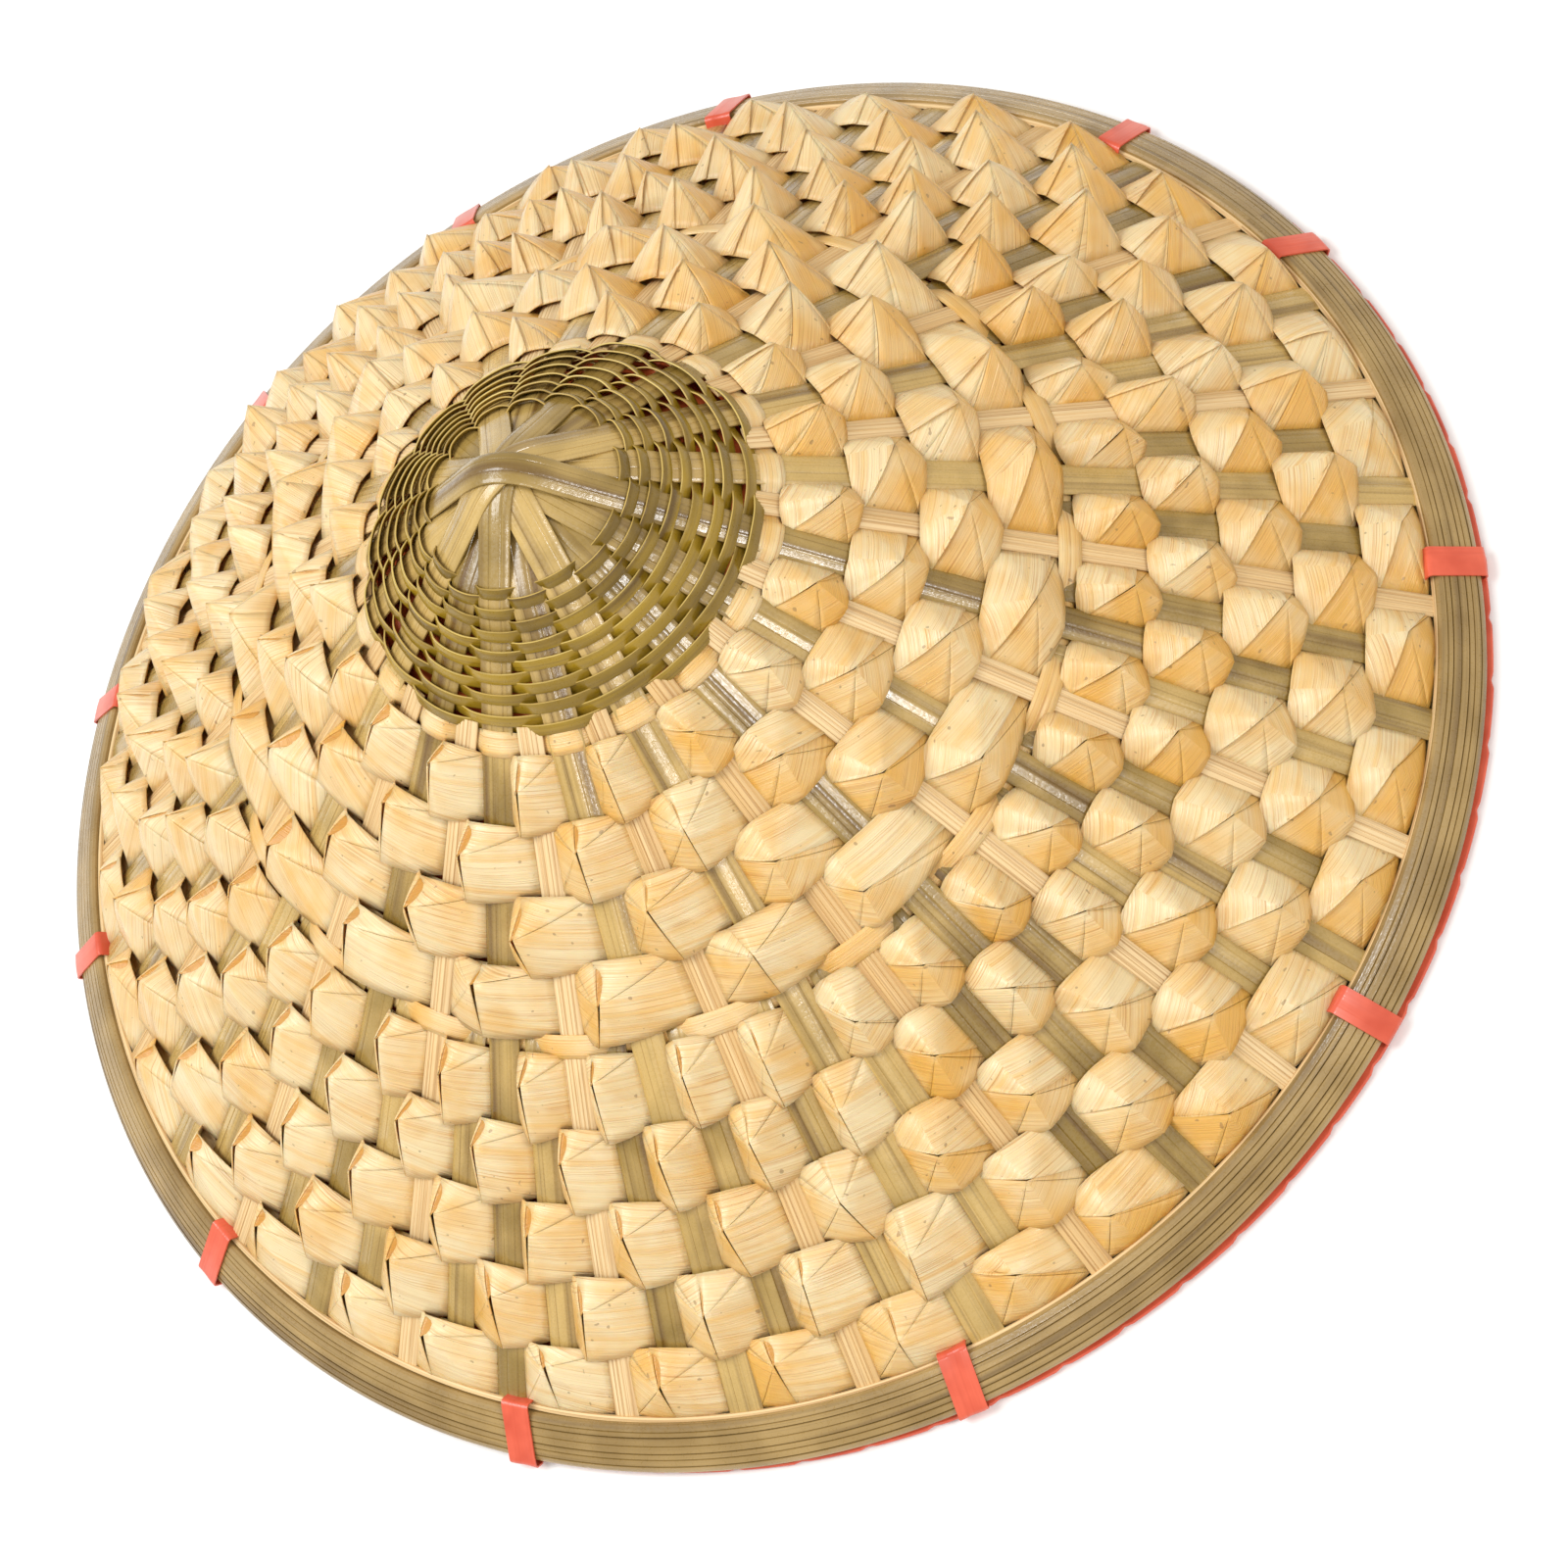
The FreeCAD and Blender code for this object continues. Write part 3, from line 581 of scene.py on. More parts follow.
def leaf_row(number, start_slant, pitch, indices, step, height):
    """One row of peaks over the stakes at these indices. step is how far away the stakes beside them are."""
    source = random_source(100 + number)
    last_row = number == LAST_ROW
    upper, lower = Patchwork(), Patchwork()
    for index in indices:
        peak(upper, lower, index, step, start_slant, pitch, height, source, last_row)
    leaf_band(lower, start_slant, pitch, last_row, source)
    over = thicken(upper.build(f"leaf_folds_{number}_upper", [LEAF], sharp_angle=44), LEAF_THICK)
    under = thicken(lower.build(f"leaf_folds_{number}_lower", [LEAF], sharp_angle=34), LEAF_THICK)
    place(over, "leaf_strip", f"leaf_row_{number}")
    place(under, "leaf_strip", f"leaf_row_{number}")


for first_row, first_slant, row_pitch, share, heights in ZONES:
    for row, peak_height in enumerate(heights):
        shift = 0.5 / share if row % 2 == 0 else 0.0
        indices = [i / share + shift for i in range(share * STAKES)]
        leaf_row(
            first_row + row, first_slant + row * row_pitch, row_pitch, indices, 0.5 / share,
            peak_height * MM)

# -------- stakes


STAKE_DOME = 0.55 * MM
FINE_GROOVE = 0.15 * MM
DEEP_GROOVE = 0.25 * MM
GROOVE_HALF = 0.2 * MM


def stake_section(width, source, grooves, groove_depth=FINE_GROOVE):
    """A flat strip's outline: a slightly domed upper face with lengthwise grooves, and a flat lower face."""
    half = width / 2
    across = [-half, -half + 0.12 * MM]
    out = [-0.25 * STAKE_THICK, -0.02 * MM]
    for share in (-0.7, -0.35, 0.0, 0.35, 0.7):
        across.append(share * half)
        out.append(STAKE_DOME * (1 - share ** 2))
    spots = (np.arange(grooves) + source.uniform(0.3, 0.7, grooves)) / grooves * 1.5 - 0.75
    for spot in spots * half:
        for side_step, depth in ((-GROOVE_HALF, 0.0), (0.0, groove_depth), (GROOVE_HALF, 0.0)):
            across.append(spot + side_step)
            out.append(STAKE_DOME * (1 - (spot / half) ** 2) - depth)
    order = np.argsort(across)
    across, out = list(np.array(across)[order]), list(np.array(out)[order])
    across += [half - 0.12 * MM, half, half - 0.1 * MM, -half + 0.1 * MM]
    out += [-0.02 * MM, -0.25 * STAKE_THICK, -STAKE_THICK, -STAKE_THICK]
    return np.stack([across, out], axis=-1)


def straight_stake(work, index, start, source, width, grooves, groove_depth, dip):
    """A stake from its start to the rim. dip is how far its head ducks under the binding ring."""
    count = 40
    slants = np.linspace(start, STAKE_END, count)
    wander = ripple(source, 0.25 * MM, 3, 9, count)
    bearing = stake_bearing(index) + np.degrees(wander / (slants * math.cos(SLOPE)))
    lift = ripple(source, 0.12 * MM, 8, 16, count)
    lift = lift - dip * np.exp(-(slants - start) / (3 * MM))
    path = on_cone(slants, bearing, lift)
    angle = math.radians(float(stake_bearing(index)))
    side = np.broadcast_to(np.array([-math.sin(angle), math.cos(angle), 0.0]), path.shape)
    normal = np.broadcast_to(np.array([
        math.sin(SLOPE) * math.cos(angle), math.sin(SLOPE) * math.sin(angle), math.cos(SLOPE)]), path.shape)
    outline = stake_section(width * source.uniform(0.96, 1.04), source, grooves, groove_depth)
    sweep(work, path, side, normal, outline, source.uniform(0, 1), grain_offset=source.uniform(0, 90))


def stakes_of(name, slot, node, indices, start, width, grooves, material, seed, groove_depth, dip):
    source = random_source(seed)
    work = Patchwork()
    for index in indices:
        straight_stake(work, index, start, source, width, grooves, groove_depth, dip)
    place(work.build(name, [material], sharp_angle=40), slot, node)


stakes_of(
    "pale_stake_strips", "pale_bamboo", "pale_stakes", [i + 0.5 for i in range(STAKES)],
    PALE_START, PALE_WIDTH, 4, PALE, 201, groove_depth=DEEP_GROOVE, dip=0.0)
stakes_of(
    "added_stake_strips", "green_bamboo", "added_stakes", [i / 2 + 0.25 for i in range(2 * STAKES)],
    ADDED_START, ADDED_WIDTH, 2, GREEN, 202, groove_depth=FINE_GROOVE, dip=2.4 * MM)

KNEE_RADIUS = 27 * MM
SHOULDER_RADIUS = 10 * MM
# each crossing strip's layer in the stack at the tip, from the lowest, 0, up
LAYER_ORDER = [2, 6, 1, 5, 0, 4, 8, 3, 7]


def crown_height(radius, layer):
    """Height of a crossing strip's upper face: the cone's side, a gentler shoulder, and a round top."""
    slope = math.radians(21.0 + 2.0 * layer)
    knee = TIP_HEIGHT - KNEE_RADIUS * math.tan(SLOPE)
    shoulder = knee + (KNEE_RADIUS - SHOULDER_RADIUS) * math.tan(slope)
    crest = SHOULDER_RADIUS * math.tan(slope / 2)
    on_top = shoulder + crest * (1 - (radius / SHOULDER_RADIUS) ** 2)
    on_shoulder = knee + (KNEE_RADIUS - radius) * math.tan(slope)
    on_side = TIP_HEIGHT - radius * math.tan(SLOPE)
    return np.where(radius < SHOULDER_RADIUS, on_top, np.where(radius < KNEE_RADIUS, on_shoulder, on_side))


def crossing_strip(index, layer):
    """One long strip from rim to rim over the top of the crown."""
    source = random_source(300 + index)
    first, second = math.radians(stake_bearing(index)), math.radians(stake_bearing(index + STAKES / 2))
    # distances from the axis: coarse steps from the rim, fine ones over the crown, and the same down again
    coarse = np.linspace(STAKE_END * math.cos(SLOPE), 34 * MM, 42)
    radius = np.concatenate([coarse, np.linspace(32 * MM, 0, 22)])
    signed = np.concatenate([radius, -radius[-2::-1]])
    height = crown_height(np.abs(signed), layer)
    smoothing = np.array([1, 2, 3, 2, 1]) / 9
    height[2:-2] = np.convolve(height, smoothing, "valid")
    # the two halves aren't quite opposite, so the strip turns a little as it crosses the tip
    outbound = np.array([math.cos(first), math.sin(first)])
    inbound = -np.array([math.cos(second), math.sin(second)])
    mix = 0.5 + 0.5 * np.clip(signed / (14 * MM), -1, 1)
    direction = unit(outbound * mix[:, None] + inbound * (1 - mix[:, None]))
    path = np.concatenate([direction * signed[:, None], height[:, None]], axis=1)
    path[:, 2] += 0.12 * MM * np.sin(np.linspace(0, source.uniform(20, 30), len(path)))
    tangent = unit(np.gradient(path, axis=0))
    side = unit(np.cross(np.array([0, 0, 1.0]), tangent))
    normal = np.cross(tangent, side)
    roll = np.exp(-(signed / (22 * MM)) ** 2) * source.uniform(-0.06, 0.06)
    outline = stake_section(GREEN_WIDTH * source.uniform(0.98, 1.05), source, 2)
    work = Patchwork()
    sweep(
        work, path, side, normal, outline, source.uniform(0, 0.8),
        grain_offset=source.uniform(0, 90), roll=roll)
    piece = work.build(f"crossing_strip_{index + 1}", [GREEN], sharp_angle=40)
    place(piece, "green_bamboo", f"crown_strip_{index + 1}")


for strip, layer in enumerate(LAYER_ORDER):
    crossing_strip(strip, layer)

# -------- crown weft

WEFTS = 14
WEFT_FIRST = 26 * MM
WEFT_STEP = 2.07 * MM
WEFT_HEIGHT = 3.1 * MM
WEFT_THICK = 0.42 * MM
# a weft's strip stands on edge and leans in over the tip: this far for each unit of height
WEFT_LEAN = 0.5


def over_under(index, sharpness):
    """+1 where a strip lies over a stake and -1 where it passes under the next, one index further on."""
    return np.tanh(sharpness * np.cos(math.pi * index)) / math.tanh(sharpness)


def crown_weft(number):
    """One turn of the crown's weft. Odd and even ones pass over different stakes."""
    source = random_source(400 + number)
    fine = 16
    index = np.arange(STAKES * fine) / fine
    wave = over_under(index + number % 2, 1.5)
    bearing = stake_bearing(index)
    slant = (WEFT_FIRST + number * WEFT_STEP) / math.cos(SLOPE)
    drift = 0.25 * MM * np.sin(np.radians(bearing) * source.integers(1, 4) + source.uniform(0, 6))
    at_stakes = np.resize(source.normal(0, 1, STAKES), STAKES + 1)
    drift = drift + 0.2 * MM * np.interp(index, np.arange(STAKES + 1), at_stakes)
    stand = WEFT_HEIGHT * (math.cos(SLOPE) - WEFT_LEAN * math.sin(SLOPE)) / math.hypot(1, WEFT_LEAN)
    above, below = stand / 2 + 0.6 * MM, -stand / 2 - STAKE_THICK - 0.1 * MM
    path = on_cone(slant + drift, bearing, below + (above - below) * (1 + wave) / 2)
    angle = np.radians(bearing)
    outward = np.stack([np.cos(angle), np.sin(angle), 0 * angle], axis=-1)
    upright = unit(np.array([0, 0, 1.0]) - outward * WEFT_LEAN)
    tangent = unit(np.roll(path, -1, axis=0) - np.roll(path, 1, axis=0))
    facing = unit(np.cross(tangent, upright))
    half, thick = WEFT_HEIGHT / 2, WEFT_THICK / 2
    outline = np.array([
        (-thick, -half), (thick, -half), (thick * 1.2, 0), (thick, half - 0.12 * MM), (thick * 0.6, half),
        (-thick * 0.6, half), (-thick, half - 0.12 * MM)])
    work = Patchwork()
    sweep(
        work, path, facing, upright, outline, source.uniform(0, 1), closed_path=True,
        grain_offset=source.uniform(0, 90))
    piece = work.build(f"weft_{number + 1:02d}", [WEFT, WEFT_EDGE], sharp_angle=50)
    # faces run along the outline first: these three of its sides are the strip's pale cut edge
    for face in piece.data.polygons:
        if face.index % len(outline) in (3, 4, 5):
            face.material_index = 1
    place(piece, "weft_bamboo", f"crown_weft_{number + 1:02d}")


for ring in range(WEFTS):
    crown_weft(ring)


def binding_strip(name, node, slant, phase, seed, width):
    """A thin leaf ring woven over every second stake at the edge of a zone."""
    source = random_source(seed)
    fine = 20
    index = np.arange(STAKES * fine) / fine
    wave = over_under(2 * index + phase, 2.0)
    lift = -STAKE_THICK / 2 + (STAKE_THICK / 2 + 0.7 * MM) * wave
    bearing = stake_bearing(index)
    across = np.linspace(-0.5, 0.5, 5)[:, None] * width * (0.9 + 0.1 * wave)
    dome = 0.25 * MM * (1 - (np.linspace(-1, 1, 5)[:, None]) ** 2)
    points = on_cone(slant + across, bearing, lift + dome)
    around = np.radians(bearing) * slant * math.cos(SLOPE)
    work = Patchwork()
    work.grid(points, grain_of(around, across), source.uniform(0.2, 0.6), wrap=True)
    place(thicken(work.build(name, [LEAF]), LEAF_THICK), "leaf_strip", node)


binding_strip("inner_ring_strip", "inner_binding_ring", INNER_RING, 0, 451, 6.6 * MM)
binding_strip("outer_ring_strip", "outer_binding_ring", OUTER_RING, 1, 452, 6.2 * MM)

# -------- rim


def rim_ring(name, profile, material, slot, node, seed, waviness=0.12, inset=0.0):
    """A hoop along the rim. profile is a closed outline of (slant, lift).

    waviness scales how far it rises and falls, and inset moves it outwards round SLACK_BEARING.
    """
    source = random_source(seed)
    steps = 480
    bearing = np.arange(steps) * 360.0 / steps
    angle = np.radians(bearing)
    profile = np.array(profile)
    wave = MM * sum(
        source.normal(0, 1) * np.sin(angle * turns + source.uniform(0, 6)) / turns for turns in (3, 5, 8, 13))
    hidden = np.clip(np.cos(angle - math.radians(SLACK_BEARING)), 0, 1) ** 0.5
    slant = profile[None, :, 0] + inset * hidden[:, None]
    lift = profile[None, :, 1] + waviness * wave[:, None]
    points = closed_both_ways(on_cone(slant, bearing[:, None], lift))
    length = np.append(angle, 2 * math.pi) * EDGE_SLANT * math.cos(SLOPE)
    work = Patchwork()
    work.grid(points, grain_of(length[:, None], lengths_along(profile, closed=True)), 0.4, flip=True)
    place(work.build(name, [material], sharp_angle=35), slot, node)


# the grooves in the upper hoop: how far across it each one lies, from 0 to 1, and its depth
HOOP_GROOVES = (
    (0.16, 0.4 * MM), (0.27, 0.7 * MM), (0.44, 0.4 * MM),
    (0.60, 0.8 * MM), (0.72, 0.5 * MM), (0.86, 0.7 * MM))


def grooved_profile():
    """The upper hoop's section: rounded shoulders and lengthwise grooves in its upper face."""
    spots = [
        (HOOP_INNER, HOOP_GAP), (HOOP_INNER, HOOP_TOP - 0.9 * MM),
        (HOOP_INNER + 0.5 * MM, HOOP_TOP - 0.2 * MM)]
    for share, depth in HOOP_GROOVES:
        middle = HOOP_INNER + share * HOOP_WIDTH
        crest = HOOP_TOP + 0.25 * MM * (1 - (2 * share - 1) ** 2)
        spots += [(middle - GROOVE_HALF, crest), (middle, crest - depth), (middle + GROOVE_HALF, crest)]
    return spots + [
        (EDGE_SLANT - 0.7 * MM, HOOP_TOP - 0.1 * MM), (EDGE_SLANT, HOOP_TOP - 0.8 * MM),
        (EDGE_SLANT, HOOP_GAP)]


rim_ring("upper_hoop", grooved_profile(), RIM, "rim_bamboo", "upper_rim_hoop", 501)

STRIP_START = HOOP_INNER - 1.6 * MM
STRIP_TOP = HOOP_GAP + 1.2 * MM
rim_ring("edge_strip", [
    (STRIP_START, HOOP_GAP), (STRIP_START, HOOP_GAP + 0.9 * MM), (STRIP_START + 0.4 * MM, STRIP_TOP),
    (HOOP_INNER - 0.4 * MM, STRIP_TOP), (HOOP_INNER - 0.1 * MM, HOOP_GAP)],
    PALE, "pale_bamboo", "rim_edge_strip", 502, waviness=0.35, inset=1.3 * MM)


def lift_at(slant, height):
    """The lift at which this slant lies this high above the ground."""
    return (height - TIP_HEIGHT + slant * math.sin(SLOPE)) / math.cos(SLOPE)


def slant_at(lift, height):
    """The slant at which this lift lies this high above the ground."""
    return (TIP_HEIGHT + lift * math.cos(SLOPE) - height) / math.sin(SLOPE)


LOWER_TOP = -STAKE_THICK - HOOP_GAP
LOWER_BOTTOM = LOWER_TOP - HOOP_GAP - 3.0 * MM
LOWER_FOOT = 0.6 * MM
LOWER_EDGE = EDGE_SLANT - 0.9 * MM
rim_ring("lower_hoop", [
    (HOOP_INNER, LOWER_BOTTOM), (HOOP_INNER, LOWER_TOP), (LOWER_EDGE, LOWER_TOP),
    (LOWER_EDGE, lift_at(LOWER_EDGE, LOWER_FOOT)), (slant_at(LOWER_BOTTOM, LOWER_FOOT), LOWER_BOTTOM)],
    RIM, "rim_bamboo", "lower_rim_hoop", 503, waviness=0.0)

TIE_BEARINGS = [15, 51.5, 77, 101.5, 132, 155, 185.5, 217, 250.5, 289, 324.5, 355.5]
TIE_WIDTH = 8.0 * MM
TIE_THICK = 0.5 * MM


def rounded(corners, reach, closed):
    """A run of corners with each one turned into a short curve."""
    spots = []
    for i, corner in enumerate(corners):
        if not closed and i in (0, len(corners) - 1):
            spots.append(corner)
            continue
        before, after = corners[i - 1] - corner, corners[(i + 1) % len(corners)] - corner
        start = corner + unit(before) * min(reach, np.linalg.norm(before) * 0.45)
        end = corner + unit(after) * min(reach, np.linalg.norm(after) * 0.45)
        for share in (0.0, 0.33, 0.67, 1.0):
            spots.append((1 - share) ** 2 * start + 2 * share * (1 - share) * corner + share ** 2 * end)
    return np.array(spots)


def strap_loop(work, bearing, source):
    """A flat strap pulled tight round both hoops, a little aslant."""
    inner, outer = HOOP_INNER - 2.0 * MM, EDGE_SLANT + 1.25 * MM
    top, bottom, foot = HOOP_TOP + 0.35 * MM, LOWER_BOTTOM - 0.15 * MM, 0.8 * MM
    spots = rounded(np.array([
        (inner, top), (outer, top), (outer, lift_at(outer, foot)), (slant_at(bottom, foot), bottom),
        (inner, bottom)]), 0.9 * MM, closed=True)
    tilt = source.uniform(-0.16, 0.16)
    run = (spots[:, 0] - EDGE_SLANT) * math.tan(tilt)
    columns = 7
    across = np.linspace(-0.5, 0.5, columns)[None] * TIE_WIDTH * source.uniform(0.92, 1.05)
    away = np.degrees((run[:, None] + across) / (spots[:, :1] * math.cos(SLOPE)))
    heading = unit(np.roll(spots, -1, axis=0) - np.roll(spots, 1, axis=0))
    outward = np.stack([-heading[:, 1], heading[:, 0]], axis=-1)
    wave = ripple(source, 0.10 * MM, 4, 8, columns)[None, :, None]
    shells = []
    for thickness in (0.0, TIE_THICK):
        spread = spots[:, None] + outward[:, None] * (thickness + wave)
        shells.append(on_cone(spread[..., 0], bearing + away, spread[..., 1]))
    points = closed_both_ways(np.concatenate([shells[0], shells[1][:, ::-1]], axis=1))
    grain = stepped_grain(points, 0.2, 0.12) + source.uniform(0, 50)
    work.grid(points, grain, source.uniform(0, 1))


for number, bearing in enumerate(TIE_BEARINGS, start=1):
    tie = Patchwork()
    strap_loop(tie, bearing, random_source(520 + number))
    place(tie.build(f"rim_strap_{number:02d}", [STRAP], sharp_angle=50), "red_strap", f"rim_tie_{number:02d}")


def rim_wrapping():
    """The strap wound round the lower hoop: its turns lap, and stand proud on the slack side."""
    source = random_source(560)
    turns, per_turn = 74, 8
    steps = turns * per_turn
    # each turn's outer face rises from its first edge to its last one, and a joint lies before the next turn
    share = np.arange(steps) % per_turn / (per_turn - 1)
    rise = np.repeat(source.uniform(0.1, 0.35, turns), per_turn)
    joint = np.where(share > 0.9, 0.7, 0.0)
    angle = np.arange(steps) * 2 * math.pi / steps
    slack = np.clip(np.cos(angle - math.radians(SLACK_BEARING)), 0, 1) ** 0.4
    hoop_edge = EDGE_SLANT * math.cos(SLOPE) + HOOP_GAP * math.sin(SLOPE)
    outer = hoop_edge + (3.3 * slack - 0.9 + (rise * share - joint) * (0.4 + 0.6 * slack)) * MM
    inner = np.full(steps, hoop_edge - 2.4 * MM)
    top = TIP_HEIGHT - EDGE_SLANT * math.sin(SLOPE)
    foot = 0.5 * MM
    corners = [
        (inner, top), (outer - 0.35 * MM, top), (outer, top - 0.35 * MM), (outer, foot + 0.3 * MM),
        (outer - 0.3 * MM, foot), (inner, foot)]
    points = closed_both_ways(np.stack([
        np.stack([radius * np.cos(angle), radius * np.sin(angle), np.full(steps, height)], axis=-1)
        for radius, height in corners], axis=1))
    work = Patchwork()
    work.grid(points, stepped_grain(points, 0.3, 0.2), 0.5, flip=True)
    place(work.build("rim_wrapping", [STRAP], sharp_angle=40), "red_strap", "rim_wrap")


rim_wrapping()

# -------- lining and head ring

LINING_LIFT = -3.4 * MM
LINING_TOP_RADIUS = 19 * MM
LINING_END = 243 * MM
LINING_STRAP = 8.0 * MM
LINING_THICK = 0.25 * MM
LINING_RINGS = 25
LINING_SPOKES = 36
PLAIT = 0.3 * MM


def lining():
    """A plaited lining of flat strap: rings woven over and under radial straps, and a flat cap on top."""
    source = random_source(600)
    top = LINING_TOP_RADIUS / math.cos(SLOPE)
    pitch = (LINING_END - top) / LINING_RINGS
    base = LINING_LIFT - 0.4 * MM
    work = Patchwork()
    fine = 8
    spoke_place = np.arange(LINING_SPOKES * fine) / fine
    bearing = spoke_place * 360.0 / LINING_SPOKES
    ring_across = np.linspace(-0.5, 0.5, 3)[:, None] * (pitch - 0.35 * MM)
    for ring in range(LINING_RINGS):
        slant = top + (ring + 0.5) * pitch
        wave = np.cos(math.pi * (spoke_place + ring))
        points = on_cone(slant + ring_across, bearing, base + PLAIT * wave)
        around = np.radians(bearing) * slant * math.cos(SLOPE)
        grain = grain_of(around, ring_across) + source.uniform(0, 90)
        work.grid(points, grain, source.uniform(0, 1), wrap=True)
    for spoke in range(LINING_SPOKES):
        # every second spoke starts further down, where there is room for it
        start = top + 1 * MM if spoke % 2 == 0 else top + 6.2 * pitch
        slants = np.arange(start, LINING_END, pitch / 6)[:, None]
        ring_place = (slants - top) / pitch - 0.5
        wave = np.cos(math.pi * (spoke + ring_place))
        width = np.minimum(LINING_STRAP, slants * math.cos(SLOPE) * 2 * math.pi / LINING_SPOKES * 1.6)
        away = np.degrees(np.linspace(-0.5, 0.5, 3) * width / (slants * math.cos(SLOPE)))
        points = on_cone(slants, spoke * 360.0 / LINING_SPOKES + away, base - PLAIT * wave)
        grain = grain_of(slants, away * 0.4 * MM) + source.uniform(0, 90)
        work.grid(points, grain, source.uniform(0, 1))
    cap_radius = np.array([0.02, 0.5, 1.0, 1.12])[:, None] * LINING_TOP_RADIUS
    cap_angle = np.linspace(0, 2 * math.pi, 49)
    height = TIP_HEIGHT - LINING_TOP_RADIUS * math.tan(SLOPE) + base / math.cos(SLOPE)
    drop = np.array([0, 0, 0, 1.2])[:, None] * MM
    cap = np.stack(np.broadcast_arrays(
        cap_radius * np.cos(cap_angle), cap_radius * np.sin(cap_angle), height - drop), axis=-1)
    work.grid(cap, grain_of(cap[..., 0], cap[..., 1]), 0.5)
    place(thicken(work.build("plaited_lining", [LINING]), LINING_THICK, 0.0), "red_lining", "lining_cone")


lining()


def head_band():
    """A bent bamboo band inside, a little more than one turn long, with its end lapped on the inside."""
    low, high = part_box("head_ring")
    half_thick = 0.7 * MM
    steps = 240
    angle = np.linspace(0, 2 * math.pi * 1.06, steps)
    step_in = 0.8 * MM * np.clip((angle - 2 * math.pi) / 0.05, 0, 1)
    radius = high[0] - half_thick - step_in
    half = (high[2] - low[2]) / 2
    bands = np.linspace(-1, 1, 13)
    ribs = 0.12 * MM * np.cos(bands * 19)
    outline = [(half_thick + rib, band * half) for band, rib in zip(bands, ribs)]
    outline += [(-half_thick - rib, -band * half) for band, rib in zip(bands, ribs)]
    path = np.stack([
        radius * np.cos(angle), radius * np.sin(angle), np.full(steps, (high[2] + low[2]) / 2)], axis=-1)
    outward = np.stack([np.cos(angle), np.sin(angle), 0 * angle], axis=-1)
    upward = np.broadcast_to(np.array([0, 0, 1.0]), path.shape)
    work = Patchwork()
    sweep(work, path, outward, upward, np.array(outline), 0.4)
    place(work.build("head_band", [PALE], sharp_angle=50), "pale_bamboo", "head_ring")


head_band()

HEAD_TIES = 6
HEAD_TIE_REACH = 14 * MM


def under_lining(radius):
    """Height of a strap that lies against the lining's underside, at this distance from the axis."""
    lift = LINING_LIFT - 1.2 * MM
    slant = (radius - lift * math.sin(SLOPE)) / math.cos(SLOPE)
    return TIP_HEIGHT - slant * math.sin(SLOPE) + lift * math.cos(SLOPE)


def head_ties():
    """Straps that run from the lining down round the head band and up again."""
    source = random_source(650)
    low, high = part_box("head_ring")
    outer, inner, foot = high[0] + 0.45 * MM, high[0] - 1.9 * MM, low[2] - 0.45 * MM
    reach = outer + HEAD_TIE_REACH
    spots = rounded(np.array([
        (reach, under_lining(reach)), (outer, under_lining(outer)), (outer, foot), (inner, foot),
        (inner, under_lining(inner))]), 0.8 * MM, closed=False)
    half, thick = TIE_WIDTH / 2, TIE_THICK / 2
    section = np.array([(-half, -thick), (half, -thick), (half, thick), (-half, thick)])
    work = Patchwork()
    for number in range(HEAD_TIES):
        angle = math.radians(30 + number * 360.0 / HEAD_TIES)
        outward = np.array([math.cos(angle), math.sin(angle), 0.0])
        path = spots[:, :1] * outward + spots[:, 1:] * np.array([0, 0, 1.0])
        tangent = unit(np.gradient(path, axis=0))
        side = np.broadcast_to(np.array([-math.sin(angle), math.cos(angle), 0.0]), path.shape)
        sweep(work, path, side, np.cross(tangent, side), section, source.uniform(0, 1))
    place(work.build("head_ring_straps", [STRAP], sharp_angle=50), "red_strap", "head_ring_ties")


head_ties()

# -------- floor, light and camera


def floor():
    mesh = bpy.data.meshes.new("floor")
    half = 12.0
    corners = [(-half, -half, 0), (half, -half, 0), (half, half, 0), (-half, half, 0)]
    mesh.from_pydata(corners, [], [(0, 1, 2, 3)])
    piece = bpy.data.objects.new("floor", mesh)
    piece.location.z = -0.3 * MM
    bpy.context.collection.objects.link(piece)
    make = Shader("floor_white")
    make.finish((0.93, 0.93, 0.93, 1.0), 0.9, Specular_IOR_Level=0.1)
    mesh.materials.append(make.material)


floor()


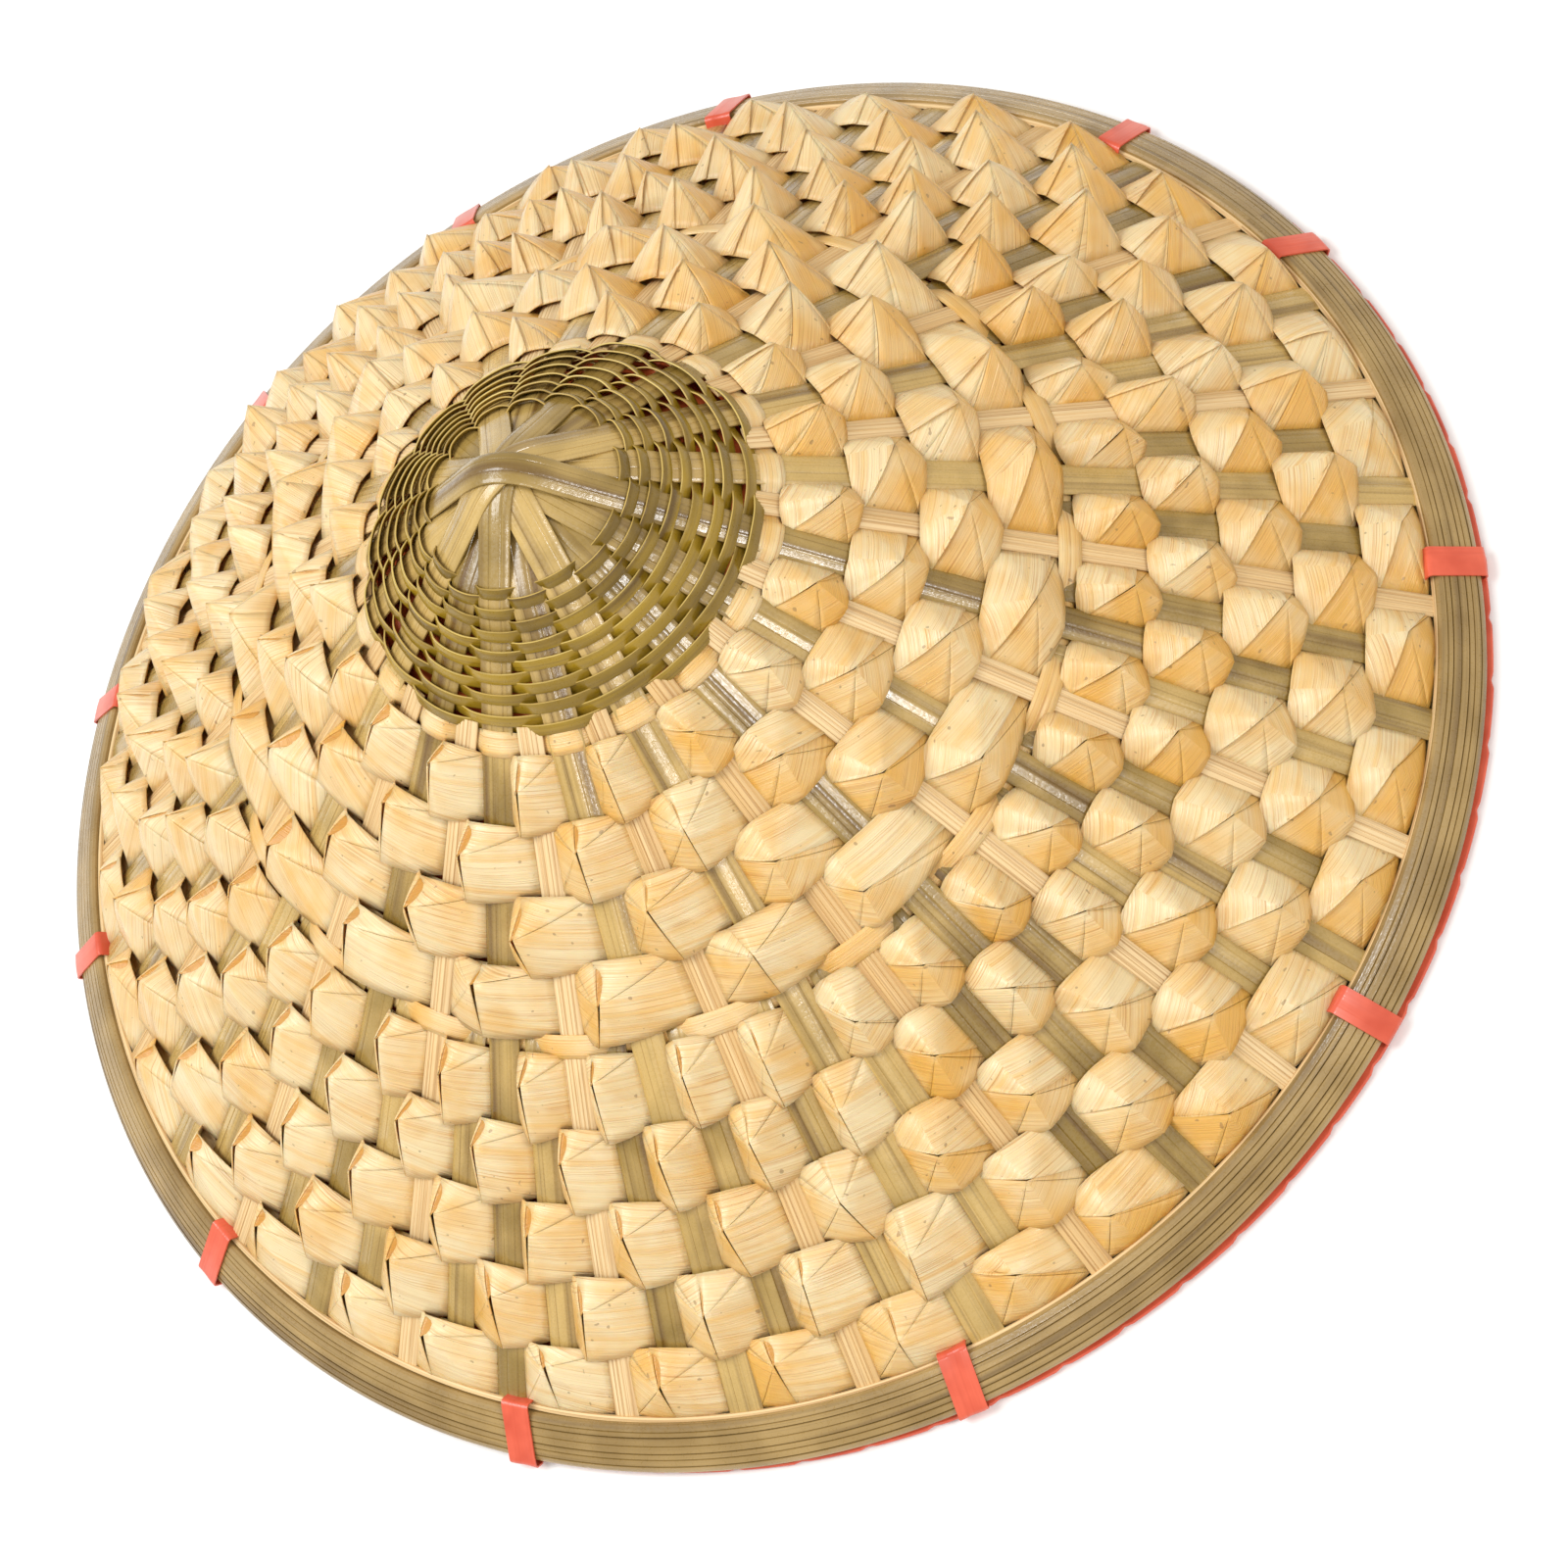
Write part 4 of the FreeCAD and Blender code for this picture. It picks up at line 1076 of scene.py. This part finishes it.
def soft_light(name, bearing, elevation, distance, width, power, colour=(1.0, 1.0, 1.0)):
    """A round soft light aimed at the hat. Bearing is counted as on the hat, and power is in watts."""
    data = bpy.data.lights.new(name, "AREA")
    data.shape = "DISK"
    data.size = width
    data.energy = power
    data.color = colour
    lamp = bpy.data.objects.new(name, data)
    turn, rise = math.radians(bearing), math.radians(elevation)
    away = Vector((math.cos(turn) * math.cos(rise), math.sin(turn) * math.cos(rise), math.sin(rise)))
    lamp.location = away * distance
    lamp.rotation_euler = away.to_track_quat("Z", "Y").to_euler()
    bpy.context.collection.objects.link(lamp)


soft_light("key", 152, 60, 1.6, 1.0, 18, colour=(0.95, 0.985, 1.0))
soft_light("glint_right", 308, 46, 1.5, 0.3, 5)
soft_light("glint_left", 245, 48, 1.5, 0.24, 2.5)
world = bpy.data.worlds.new("studio")
world.use_nodes = True
world.node_tree.nodes["Background"].inputs["Color"].default_value = (1.0, 0.97, 0.91, 1.0)
world.node_tree.nodes["Background"].inputs["Strength"].default_value = 0.65
bpy.context.scene.world = world
bpy.context.scene.view_settings.view_transform = "Standard"


def photo_camera():
    """The camera looks down on the hat from 57 degrees up, turned so that the tip is at the upper left."""
    rim_radius = 0.210
    distance = 4.0 * rim_radius
    elevation = math.radians(57.2)
    roll = math.radians(-42.47)
    rim_centre = Vector((0, 0, 0.6 * MM))
    back = Vector((0, -math.cos(elevation), math.sin(elevation)))
    right = Vector((1, 0, 0))
    up = back.cross(right)
    eye = back * distance
    target = (right * -0.0036 + up * -0.1105) * rim_radius
    depth = (eye - target).normalized()
    level = up.cross(depth).normalized()
    above = depth.cross(level)
    across = level * math.cos(roll) + above * math.sin(roll)
    upright = above * math.cos(roll) - level * math.sin(roll)
    data = bpy.data.cameras.new("camera")
    data.sensor_width = 36.0
    data.lens = 68.69
    camera = bpy.data.objects.new("camera", data)
    place_at = eye + rim_centre
    camera.matrix_world = Matrix([
        [across[i], upright[i], depth[i], place_at[i]] for i in range(3)] + [[0, 0, 0, 1]])
    bpy.context.collection.objects.link(camera)
    bpy.context.scene.camera = camera


photo_camera()
